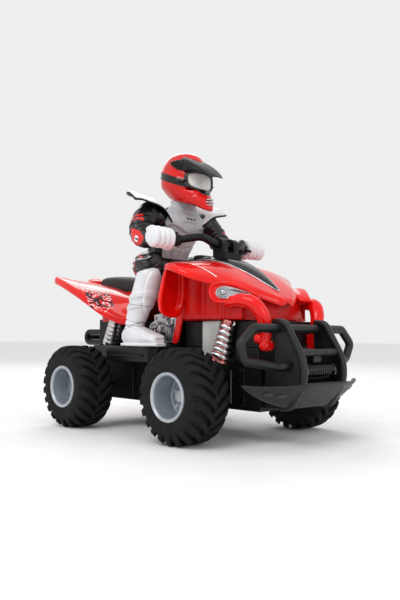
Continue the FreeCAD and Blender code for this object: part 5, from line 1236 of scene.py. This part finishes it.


# %% [markdown]
# ### The rider's finishes
#
# The suit is black PVC with pad-printed red bands and white patches. The print sits in flat bands
# and blocks, so masks between parallel planes draw it. The two sides of the figure mirror each
# other, so these masks read a place whose sideways distance has lost its sign. Gloves are white,
# with a pink tint painted on their lower side that grows downwards: painted shade and painted
# reflection of the red body below. The boots are white with a fine grey line.

# %% Suit, gloves, boots and helmet finishes
def sleeve_print(tree, spot, under):
    spot = mirrored_spot(tree, spot)
    down, out = (0.425, 0.446, -0.787), (-0.3, 0.95, 0.0)
    for centre, half in ((-79.0, 0.7), (-76.4, 0.7)):
        under = laid(tree, block(tree, spot, (down, centre, half), (out, 38.0, 8.0)), under, "#D3150F")
    panel_red = block(tree, spot, ((1, 0, 0), 1.6, 7.0), (out, 42.0, 7.4), ((0.35, 0, 1), 95.8, 4.4))
    under = laid(tree, panel_red, under, "#D3150F")
    for wide, high, code in ((2.6, 1.6, "#ECECEC"), (2.0, 0.5, "#17181A")):
        patch = block(tree, spot, ((1, 0, -0.4), -35.8, wide), (out, 44.0, 8.0),
                      ((0.4, 0, 1), 94.4, high))
        under = laid(tree, patch, under, code)
    return under


def trouser_print(tree, spot, under):
    spot = mirrored_spot(tree, spot)
    along, out = (0.75, 0.64, -0.15), (-0.64, 0.75, 0.1)
    for size, code in (((7.4, 5.0), "#D3150F"), ((6.5, 4.1), "#151617"), ((4.6, 2.2), "#DCDCDC"),
                       ((4.1, 0.6), "#1A1B1D")):
        mask = block(tree, spot, (along, -1.0, size[0]), (out, 41.0, 6.4), ((0.3, 0, 1), 83.4, size[1]))
        under = laid(tree, mask, under, code)
    return under


def boot_print(tree, spot, under):
    spot = mirrored_spot(tree, spot)
    for way, centre, half, x, reach in (((0.16, 0, 1), 66.0, 0.22, 0.0, 12.0),
                                        ((0.1, 0, 1), 55.4, 0.22, -4.0, 9.0),
                                        ((-0.5, 0, 1), 51.0, 0.2, -4.0, 8.0)):
        mask = block(tree, spot, (way, centre, half), ((1, 0, 0), x, reach))
        under = laid(tree, mask, under, "#9FA2A8")
    return under


def glove_painted_bounce_and_shade(tree, spot, under):
    # The pink tint grows towards the bottom of the fist: painted shade and painted reflection of the red
    # body below, not a colour of the glove.
    parts = add(tree, "SeparateXYZ", links={0: spot})
    low = add(tree, "MapRange", {"From Min": 98.2 * MM, "From Max": 95.6 * MM, "To Max": 0.55},
              {"Value": parts.outputs["Z"]})
    return laid(tree, low, under, "#E9B9BC")


def helmet_print(tree, spot, under):
    strap = block(tree, spot, ((0.36, 0, 0.933), 127.9, 2.0), ((1, 0, 0), -4.0, 16.5))
    under = laid(tree, strap, under, "#151618")
    seam = block(tree, spot, ((1, 0, -0.28), -45.4, 0.16), ((0, 0, 1), 140.0, 16.0))
    return laid(tree, seam, under, "#3A0605")


SUIT = moulded("black_pvc_suit", "#0B0C0D", "#131416", 0.3, 0.6, 0.008, sleeve_print)
TROUSER = moulded("black_pvc_trousers", "#0B0C0D", "#151617", 0.36, 0.5, 0.01, trouser_print)
JERSEY = moulded("black_pvc_jersey", "#0B0C0D", "#131416", 0.32, 0.6, 0.008)
BOOT = moulded("white_pvc_boot", "#D3D4D8", "#E4E5E8", 0.4, 0.4, 0.01, boot_print)
GLOVE = moulded("white_pvc_glove", "#D3D4D8", "#E4E5E8", 0.42, 0.4, 0.01, glove_painted_bounce_and_shade)
HELMET = moulded("red_helmet_abs", "#C60A08", "#D60E0A", 0.14, 0.6, 0.003, helmet_print,
                 Coat_Weight=0.25, Coat_Roughness=0.05, Specular_IOR_Level=0.3)
PEARL = moulded("pearl_painted_lens", "#C2BFBA", "#DAD8D3", 0.24, 0.5, 0.003)
print("figure finishes:", SUIT.name, TROUSER.name, HELMET.name)

# %% [markdown]
# ### Body and trousers
#
# The torso leans forward over the tank, and the legs straddle it with bent knees. The jersey has
# soft folds and gathers above the belt. The trousers have a belt line and folds round the knee.

# %% Torso and trousers
TORSO = ((-21.0, 44.0, 9.0, 12.0), (-20.5, 51.0, 8.6, 11.8), (-16.0, 61.0, 9.4, 13.6),
         (-12.5, 69.0, 10.0, 15.6), (-10.0, 75.0, 8.0, 14.4), (-8.0, 79.6, 5.0, 7.5))
trunk = skin([oval((x, 0, z + DECK), b, a, (0.2, 0, 1), (0, 1, 0), 40, 2.2)
              for x, z, a, b in fair(TORSO, 6)])
caps = [ball(-9.0, sign * 17.0, 72.6 + DECK, 6.8, 7.4, 6.2) for sign in (1, -1)]
neck = tube([(-7.6, 0, 122.0), (-6.6, 0, 128.0), (-6.5, 0, 133.0)], [5.2, 4.4, 3.8], 24)


def torso_relief(p):
    height = folds(p, 7.0, 0.7)
    height += 0.7 * ridge(p.z, 97.6, 1.5, 0.5) - 0.35 * ridge(p.z, 95.4, 0.3, 0.5)
    return height + 0.35 * math.sin(math.atan2(p.y, p.x + 20) * 14) * ridge(p.z, 102.0, 2.0, 3.0)


body = carved(fused(joined([trunk, neck] + caps)), torso_relief)
piece("jersey_body", body, JERSEY, "rider_torso", sharp=180)

LEG_ROWS = ((-24.0, 8.5, 44.0, 7.6), (-13.0, 19.0, 44.6, 8.2), (-4.0, 27.4, 42.6, 7.5),
            (2.4, 31.8, 39.4, 6.0), (3.0, 32.2, 35.6, 5.0))
hips = ball(-22.0, 0, 42.2 + DECK, 10.5, 14.5, 8.2)


def trouser_relief(p):
    knee = (p - Vector((2.0, math.copysign(31.0, p.y), 83.0))).length
    height = folds(p, 6.0, 0.75) + 0.5 * math.sin(p.z * 1.5 + abs(p.y) * 0.5) * ridge(knee, 7.5, 1.5, 4.0)
    return height - 0.3 * ridge(p.z - 0.2 * p.x, 94.0, 0.2, 0.5)


legs = carved(fused(joined([hips, twin(limb(LEG_ROWS))])), trouser_relief)
piece("trousers", legs, TROUSER, "rider_legs", sharp=180)
loops = []
for a in (0.5, -0.5, 1.3, -1.3, 2.4, -2.4):
    x, y = -22.0 + 8.8 * math.cos(a), 11.9 * math.sin(a)
    loops.append(bar((x, y, 95.6), (x, y, 99.4), 0.9, 0.6, (math.cos(a), math.sin(a), 0)))
piece("belt_loops", joined(loops), BLACK, "rider_torso", replaces=False)

# %% [markdown]
# ### Boots
#
# The boots are tall motocross boots: a slanted top, a stiff shin plate, two straps across the
# shaft, an ankle crease and a flat sole that stands on the footboard. The top is cut by moving
# every vertex above a slanting plane down onto it.

# %% Boots
SHAFT = ((3.4, 32.0, 36.6, 6.5), (2.4, 32.6, 31.0, 6.7), (0.4, 33.5, 25.0, 6.5),
         (-2.4, 34.2, 17.5, 5.7), (-4.6, 34.5, 11.0, 5.1), (-5.6, 34.5, 6.0, 5.2))
BOOT_Y = 34.5                   # the middle of the left boot
shaft = limb(SHAFT, 6, 28)
foot = skin([upright((x, BOOT_Y, DECK + 1.7 + h / 2), w, h / 2, 24, 2.7)
             for x, w, h in fair(((-11.2, 3.2, 5.0), (-10.2, 4.4, 7.6), (-6.0, 4.9, 9.6),
                                  (0.0, 4.7, 9.2), (5.0, 4.7, 7.4), (10.0, 5.0, 5.8), (14.4, 4.7, 4.6),
                                  (16.4, 3.2, 3.0)), 4)])
sole = skin([upright((x, BOOT_Y, DECK + 0.95), w, 0.95, 24, 5.0) for x, w in fair((
    (-11.8, 3.4), (-10.6, 4.9), (-5.0, 5.1), (2.0, 4.6), (9.0, 5.3), (14.6, 5.0), (17.2, 3.2)), 4)])
top_cut = Vector((-0.35, 0, 1)).normalized()


def boot_relief(p):
    high = p.z - DECK
    strap = ridge(high - 0.16 * p.x, 21.0, 1.2, 0.35) + ridge(high - 0.16 * p.x, 26.0, 1.2, 0.35)
    crease = ridge(high + 0.3 * p.x, 8.6, 0.1, 0.8) + ridge(high + 0.3 * p.x, 12.0, 0.1, 0.8)
    shin = 0.7 * rise(p.x - (high - 6.0) * 0.24, 1.0, 1.6) * rise(high, 12.0, 15.0)
    welt = -0.35 * ridge(high, 2.3, 0.15, 0.4)
    return 0.55 * strap * (1 - 0.5 * (shin > 0)) - 0.55 * crease + shin + welt + folds(p, 9.0, 0.2)


boots = carved(fused(joined([shaft, foot, sole]), 0.36, 3), boot_relief)
for v in boots.verts:
    over = (v.co - Vector((3.4, 32.0, DECK + 39.2))).dot(top_cut)
    if over > 0:
        v.co -= top_cut * over * 0.92
for v in boots.verts:
    v.co.z = max(v.co.z, DECK + 0.02)
piece("motocross_boots", twin(boots), BOOT, "boots", sharp=60)

# %% [markdown]
# ### Arms and gloves
#
# Each arm is one sleeve from the shoulder to the cuff, bulging at the elbow, with ring folds in
# the bend. A glove is a fist round the grip: four fingers that wrap over it side by side, a
# thumb under it, the back of the hand with a padded knuckle bar, and a ribbed cuff. The sleeve
# and the glove turn together about the shoulder, so each side is a pair on its own body.

# %% Sleeves and gloves
ARM = ((-9.0, 22.0, 73.4, 6.6), (-8.4, 27.0, 68.0, 6.3), (-5.2, 31.2, 60.8, 6.0),
       (1.6, 33.4, 57.0, 5.2), (8.4, 34.3, 55.9, 4.1), (11.0, 34.5, 55.6, 3.8))


def sleeve_relief(p):
    elbow = (Vector((p.x, abs(p.y), p.z)) - Vector((-3.5, 29.0, 107.0))).length
    return folds(p, 6.5, 0.7) + 0.4 * math.sin(p.z * 1.3 - p.x * 1.1) * ridge(elbow, 5.0, 1.5, 4.0)


for hand, sign in (("left", 1), ("right", -1)):
    arm = carved(fused(limb(ARM, 6)), sleeve_relief)
    piece(f"arm_{hand}", moved(arm, stretch=(1, sign, 1)), SUIT, f"sleeve_{hand}", sharp=180)
    parts = []
    for n, y in enumerate((29.8, 33.1, 36.5, 39.8)):
        r = (1.75, 1.85, 1.85, 1.75)[n]
        bend = [(12.4, y, 104.2), (14.6, y, 104.6 + 0.1 * n), (17.6, y, 104.3), (19.5, y, 102.2),
                (19.5, y, 99.2), (18.2, y, 97.2), (15.8, y, 96.9), (14.2, y, 97.8)]
        rows = fair([(*p, r * s) for p, s in zip(bend, (1.0, 1.1, 1.0, 1.05, 0.98, 1.0, 0.95, 0.85))], 3)
        parts.append(tube([row[:3] for row in rows], [row[3] for row in rows], 14, across=(0, 1, 0)))
        parts.append(ball(14.2, y, 97.8, r * 0.85))
        parts.append(ball(13.6, y, 104.6, r * 1.15, r * 1.05, r * 0.9))
    parts.append(ball(12.6, 34.6, 101.2, 3.4, 6.6, 4.4))
    parts.append(ball(15.6, 41.2, 100.8, 3.9, 1.1, 3.9))
    parts.append(tube([(9.4, 34.5, 100.8), (10.4, 34.5, 100.9), (12.6, 34.5, 101.0)], [4.3, 4.5, 4.4],
                      24))
    thumb = fair([(12.4, 30.2, 98.4, 2.1), (14.0, 29.0, 96.9, 2.0), (16.4, 28.8, 96.6, 1.9),
                  (18.2, 29.6, 97.2, 1.6)], 4)
    parts.append(tube([row[:3] for row in thumb], [row[3] for row in thumb], 14, across=(0, 1, 0)))
    parts.append(ball(18.2, 29.6, 97.2, 1.6))
    glove = fused(joined(parts), 0.3, 2)
    glove = carved(glove, lambda p: -0.5 * ridge(p.x, 11.2, 0.15, 0.5) + 0.25 * ridge(p.x, 9.9, 0.3,
            0.3) - 0.3 * ridge(p.x - 0.3 * (104 - p.z), 15.0, 0.1, 0.35) * rise(p.z, 103, 104.5))
    piece(f"fist_{hand}", moved(glove, stretch=(1, sign, 1)), GLOVE, f"glove_{hand}", sharp=180)

# %% [markdown]
# ### Chest protector
#
# Over the jersey sits a hard light-grey protector: a collar, an upper plate with winged corners,
# a blank raised badge with three plain bars, and ribbed plates below. It is a grid wrapped round
# the torso's own sections, so it fits exactly, with the relief added outwards. On the shoulders
# lie two white wings with a black edge. Each wing is a curved sheet, doubled by a black one
# underneath that is slightly larger.

# %% Protector and shoulder wings
CHEST = fair(TORSO, 12)
EDGE = ((50.0, 0.72), (57.0, 0.82), (61.0, 0.98), (65.0, 0.9), (68.5, 0.84), (73.0, 0.96), (76.5, 1.05),
        (82.4, 1.2))


def between(rows, value):
    """The rest of a row at a value of its first column, on straight lines."""
    value = min(max(value, rows[0][0]), rows[-1][0])
    for a, b in zip(rows, rows[1:]):
        if a[0] <= value <= b[0]:
            t = (value - a[0]) / (b[0] - a[0])
            return [p + (q - p) * t for p, q in zip(a[1:], b[1:])]


def protector_height(turn, z):
    """The relief over the jersey, for an angle from straight ahead and a height over the deck."""
    side = abs(turn)
    dip = 67.6 - 1.6 * math.cos(turn * 5.2)
    upper = rise(z, dip, dip + 0.5) * (1 - rise(z, 76.2 - side * 1.5, 77.0 - side * 1.5))
    belly = (1 - rise(z, dip - 0.9, dip - 0.5))
    grooves = ridge(side, 0.0, 0.015, 0.06)
    for height in (61.4, 57.4):
        grooves += ridge(z - side * 3.0, height, 0.15, 0.45)
    grooves += ridge(side - (z - 55) * 0.022, 0.42, 0.02, 0.05)
    badge = ridge(turn, 0.0, 0.3, 0.03) * ridge(z, 73.0, 1.1, 0.2)
    stripes = sum(ridge(turn, middle, 0.05, 0.02) for middle in (-0.17, 0.0, 0.17))
    bars = badge * stripes * ridge(z, 73.0, 0.5, 0.2)
    collar = rise(z, 77.2, 78.4)
    return 2.3 + 1.1 * upper - 0.8 * belly * min(1.0, grooves) + 0.35 * badge + 0.3 * bars + 0.9 * collar


sheet = bmesh.new()
bmesh.ops.create_grid(sheet, x_segments=72, y_segments=72, size=1.0)
rows_by_height = [(z, x, a, b) for x, z, a, b in CHEST]
for v in sheet.verts:
    z = 66.9 + 15.4 * v.co.y
    turn = v.co.x * between(EDGE, z)[0]
    x, a, b = between(rows_by_height, z)
    grow = protector_height(turn, z)
    v.co = (x + (a + grow) * math.cos(turn), (b + grow) * math.sin(turn),
            DECK + z - 0.2 * (a + grow) * math.cos(turn))
protector = piece("chest_plate", sheet, ARMOUR, "chest_protector", wall=1.3, outward=False, sharp=60)

WING = ((8.6, 78.4, 5.6, 0.6), (13.0, 80.4, 8.2, 1.6), (19.0, 82.0, 9.4, 2.6), (25.0, 82.4, 9.6, 3.2),
        (30.0, 82.0, 8.4, 3.0), (33.4, 80.8, 5.6, 2.0), (34.6, 80.0, 2.8, 1.2))


def shoulder_wing(grow, sink):
    bm = bmesh.new()
    bmesh.ops.create_grid(bm, x_segments=24, y_segments=28, size=1.0)
    rows = fair(WING, 5)
    for v in bm.verts:
        y = 8.6 + (26.0 + grow) * (v.co.y + 1) / 2
        z, wide, arch = between(rows, y)
        u = v.co.x
        panel_line = -0.25 * ridge(abs(u), 0.55, 0.02, 0.08) - 0.25 * ridge(y, 14.5 + 2.0 * u, 0.1, 0.5)
        front = (11.5 - 0.24 * (y - 8.6)) * ((u + 1) / 2) ** 1.2
        flare = 1.6 * rise(y, 28.0, 35.0)
        high = DECK + z + 1.0 + 2.6 * rise(y, 10, 20) - 0.3 * arch * u * u - front - sink
        v.co = (-8.8 + (wide + grow) * u, y, high + panel_line * (sink == 0) + flare)
    return bm


for name, grow, sink, paint in (("shoulder_wings", 0.0, 0.0, WHITE),
                                ("shoulder_liners", 0.6, 0.95, BLACK)):
    piece(name, twin(shoulder_wing(grow, sink)), paint, "chest_protector", replaces=False, level=1,
          wall=0.9, outward=False)
print("protector faces:", len(protector.data.polygons))

# %% [markdown]
# ### Helmet
#
# The helmet is a motocross shell: round at the back, with a long pointed chin bar and an eye
# opening. It is lofted from level sections, each given by how far it reaches to the back, to the
# front and to the side. The goggles' strap is a raised black band that climbs to the back, and a
# fine line marks where the two halves of the moulding meet.

# %% Helmet shell
HEAD = ((154.6, -6.0, -3.4, 1.0, 2.0), (154.2, -9.6, 0.6, 4.4, 2.0), (152.6, -13.0, 4.6, 7.4, 2.0),
        (149.6, -15.8, 7.8, 9.6, 2.0), (145.6, -17.6, 9.8, 11.2, 2.05), (140.6, -18.3, 10.8, 11.9, 2.1),
        (135.4, -18.4, 11.2, 12.0, 2.1), (131.4, -17.9, 12.8, 11.7, 1.95),
        (128.4, -17.0, 15.4, 11.0, 1.8), (125.6, -15.6, 17.6, 10.0, 1.66),
        (123.4, -13.6, 18.0, 8.9, 1.62), (122.4, -12.0, 17.2, 8.0, 1.62))


def head_ring(z, back, front, half, power, count=112):
    middle = back + (front - back) * 0.46
    ring = []
    for n in range(count):
        t = math.tau * n / count
        c, s = math.cos(t), math.sin(t)
        p = power if c > 0 else 2.15
        reach = front - middle if c > 0 else middle - back
        ring.append(Vector((middle + reach * math.copysign(abs(c) ** (2 / p), c),
                            half * math.copysign(abs(s) ** (2 / p), s), z)))
    return ring


def jaw(ring):
    """Tilts the lower part of the shell: its rim runs down from the nape to the chin."""
    for p in ring:
        low = rise(p.z, 141.0, 122.0)
        p.z += low * (0.27 * (12.0 - p.x) - 2.2 * rise(p.x, 8.0, 18.0))
    return ring


rings = [head_ring(*row) for row in fair(HEAD, 7)]
low = HEAD[-1]
for z, inset in ((122.0, 1.0), (122.4, 2.2), (125.0, 2.6), (129.0, 3.0)):
    rings.append(head_ring(z, low[1] + inset, low[2] - inset * 1.7, low[3] - inset * 0.8, 1.8))


def helmet_relief(p):
    strap = ridge(0.36 * p.x + 0.933 * p.z, 127.9, 1.8, 0.35) * (1 - rise(p.x, 10.5, 12.0))
    seam = ridge(p.x * 0.963 - p.z * 0.27, -45.45, 0.05, 0.3)
    flank = ridge(p.z - 0.35 * p.x, 124.2, 0.1, 0.6) * rise(p.x, -6.0, 0.0)
    return 0.45 * strap - 0.22 * seam - 0.25 * flank


shell = skin([jaw(ring) for ring in rings])
for v in shell.verts:
    inside = rise(v.co.x, 3.0, 7.0) * ridge(v.co.y, 0, 8.9, 1.0) * ridge(v.co.z, 135.7, 4.3, 0.8)
    v.co.x += (6.2 - v.co.x) * inside
piece("helmet_shell", carved(shell, helmet_relief), HELMET, "helmet", sharp=50)
vent = []
for z, w in ((125.2, 2.2), (123.7, 2.9), (122.2, 2.4)):
    rings = [upright((x, 0, z), w * s, 0.52, 16, 3.0)
             for x, s in ((14.5, 1.2), (16.8, 1.05), (17.7, 0.8), (18.0, 0.45))]
    vent.append(skin(rings))
piece("chin_vent", joined(vent), SILVER, "helmet", replaces=False, level=1)
print("helmet sections:", len(HEAD))

# %% [markdown]
# ### Peak and goggles
#
# The peak is a black wedge with a fin at each temple. The goggles hide the face behind a
# pearl-white lens: their frame is a ring of small ovals that follows an outline and bends back
# round the face, with a nose guard below and a buckle on each side.

# %% Peak and goggles
PEAK = ((0.6, 6.8, 152.2, 149.6), (3.0, 9.2, 151.4, 142.6), (6.0, 10.6, 149.8, 140.8),
        (11.0, 10.6, 146.6, 140.2), (16.0, 9.2, 142.9, 138.9), (19.6, 7.0, 139.9, 137.6),
        (21.6, 5.0, 138.2, 136.9), (22.2, 3.8, 137.6, 137.0))
rings = []
for x, half, high, low in fair(PEAK, 3):
    outline = [(0, high), (half * 0.5, high - 0.25), (half * 0.8, high - 0.7),
               (half, (high * 1.5 + low * 0.5) / 2 - 0.8), (half * 1.02, low + 0.4), (half * 0.8, low),
               (0, low + 0.5)]
    rings.append(mirrored_ring([Vector((x, y, z)) for y, z in outline]))
peak = skin(rings)
fins = twin(skin([oval((x, y, z), a, b, (-1, 0.25, 0.1), (0, 0, 1), 12, 3.0)
                  for x, y, z, a, b in ((6.0, 9.0, 144.8, 3.8, 1.4), (2.0, 10.4, 145.6, 3.0, 1.3),
                                        (-1.4, 11.4, 146.6, 1.6, 0.9), (-3.4, 11.8, 147.4, 0.4, 0.4))]))
piece("peak", joined([peak, fins]), BLACK, "helmet_peak", level=1)


def wrap(y, front=11.4):
    return front - 0.034 * y * y


GOGGLE_EDGE = ((-9.2, 140.8), (-4.0, 141.2), (4.0, 141.2), (9.2, 140.8), (9.7, 138.0), (9.5, 134.0),
               (7.2, 132.0), (3.2, 131.4), (1.3, 129.8), (-1.3, 129.8), (-3.2, 131.4), (-7.2, 132.0),
               (-9.5, 134.0), (-9.7, 138.0))
frame_rings = []
for n, (y, z) in enumerate(GOGGLE_EDGE):
    before, after = GOGGLE_EDGE[n - 1], GOGGLE_EDGE[(n + 1) % len(GOGGLE_EDGE)]
    way = Vector((wrap(after[0]) - wrap(before[0]), after[0] - before[0], after[1] - before[1]))
    frame_rings.append(oval((wrap(y) - 0.9, y, z), 1.7, 0.85, way, (1, 0, 0), 12, 3.0))
surround = skin(frame_rings, closed=True)
nose = skin([oval((x, 0, z), w, 0.9, (0, 0, -1), (0, 1, 0), 12, 2.6)
             for x, z, w in ((11.0, 132.0, 6.4), (11.9, 130.6, 5.2), (13.0, 129.0, 3.6),
                             (14.0, 127.6, 1.4))])
buckles = twin(bar((7.6, 10.4, 135.4), (2.6, 12.1, 137.0), 1.9, 0.7, (0, 0, 1)))
piece("goggle_frame", joined([surround, nose, buckles]), GLOSS_BLACK, "goggles", level=1)
lens = skin([oval((wrap(y) - 0.8, y, 136.3), 0.5, high, (0.07 * y, -1, 0), (1, 0, 0), 16, 4.0)
             for y, high in ((-9.3, 3.0), (-9.1, 4.0), (-5.0, 4.5), (0.0, 4.6), (5.0, 4.5), (9.1, 4.0),
                             (9.3, 3.0))])
piece("lens", lens, PEARL, "goggle_lens", level=2)
print("goggles reach x =", round(wrap(0) + 1.0, 1), "mm")

# %% [markdown]
# ## Finishes for the pieces that keep their engineering shape
#
# Pieces inside the hull and small hardware already have the right shape: gears, the motor, the
# axle, the steering parts and the screws. They only need their real finish. Anything not named
# here keeps a satin black plastic.

# %% Finish the kept nodes
KEPT = {STEEL: ("rear_axle", "front_axle_left", "front_axle_right", "kingpins", "chassis_screws",
                "door_screw", "drive_motor"), NYLON: ("axle_gear", "reduction_gear", "motor_pinion",
                                                      "axle_bushes"), SERVO: ("steering_servo",
                                                              "servo_arm", "tie_rod", "knuckle_left",
                                                              "knuckle_right", "power_switch"),
                                                              BOARD: ("circuit_board",),
                                                              CELL: ("battery_cells",),}
for paint, nodes in KEPT.items():
    for node in nodes:
        paint_node(node, paint)
standing = {n for o in bpy.data.objects if "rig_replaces" in o for n in o["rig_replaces"]}
named = {n for nodes in KEPT.values() for n in nodes}
for node in sorted(set(frame["nodes"]) - standing - named):
    paint_node(node, BLACK)
    print("kept as it is:", node)

# %% [markdown]
# ## Floor and light
#
# A pale plain floor and three big soft panels, as in a product studio: one above on the right for
# the broad highlights on the red shells, one low in front for the tyres and the guard, and one
# behind on the left for the edges. The world is an even white, a little under full strength, so
# the black plastics have something to reflect.

# %% Floor and light
floor_mesh = bpy.data.meshes.new("floor")
bm = bmesh.new()
bmesh.ops.create_grid(bm, x_segments=1, y_segments=1, size=6.0)
bm.to_mesh(floor_mesh)
bm.free()
floor = bpy.data.objects.new("floor", floor_mesh)
bpy.context.collection.objects.link(floor)
made, tree, shader, spot = material("pale_paper", Roughness=0.9)
fibres = add(tree, "TexNoise", {"Scale": 40.0, "Detail": 5.0}, {"Vector": spot})
sheet_white = add(tree, "ValToRGB", links={"Fac": fibres}, stops=[(0.3, "#EBEBEB"), (0.7, "#F1F1F1")])
tree.links.new(sheet_white.outputs[0], shader.inputs["Base Color"])
floor_mesh.materials.append(made)

world = bpy.data.worlds.new("studio")
bpy.context.scene.world = world
world.use_nodes = True
world.node_tree.nodes["Background"].inputs["Color"].default_value = colour("#FFFFFF")
world.node_tree.nodes["Background"].inputs["Strength"].default_value = 0.86


def panel(name, place, target, width, height, watts):
    lamp = bpy.data.lights.new(name, "AREA")
    lamp.shape = "RECTANGLE"
    lamp.size, lamp.size_y = width, height
    lamp.energy = watts
    made = bpy.data.objects.new(name, lamp)
    made.location = place
    made.rotation_euler = (Vector(target) - Vector(place)).to_track_quat("-Z", "Y").to_euler()
    bpy.context.collection.objects.link(made)


panel("key", (0.15, -0.55, 0.65), (0, 0, 0.07), 0.5, 0.35, 2.4)
panel("fill", (0.7, -0.05, 0.25), (0, 0, 0.06), 0.3, 0.25, 0.6)
panel("back", (-0.5, 0.35, 0.6), (0, 0, 0.08), 0.4, 0.4, 1.6)
bpy.context.scene.view_settings.view_transform = "Standard"
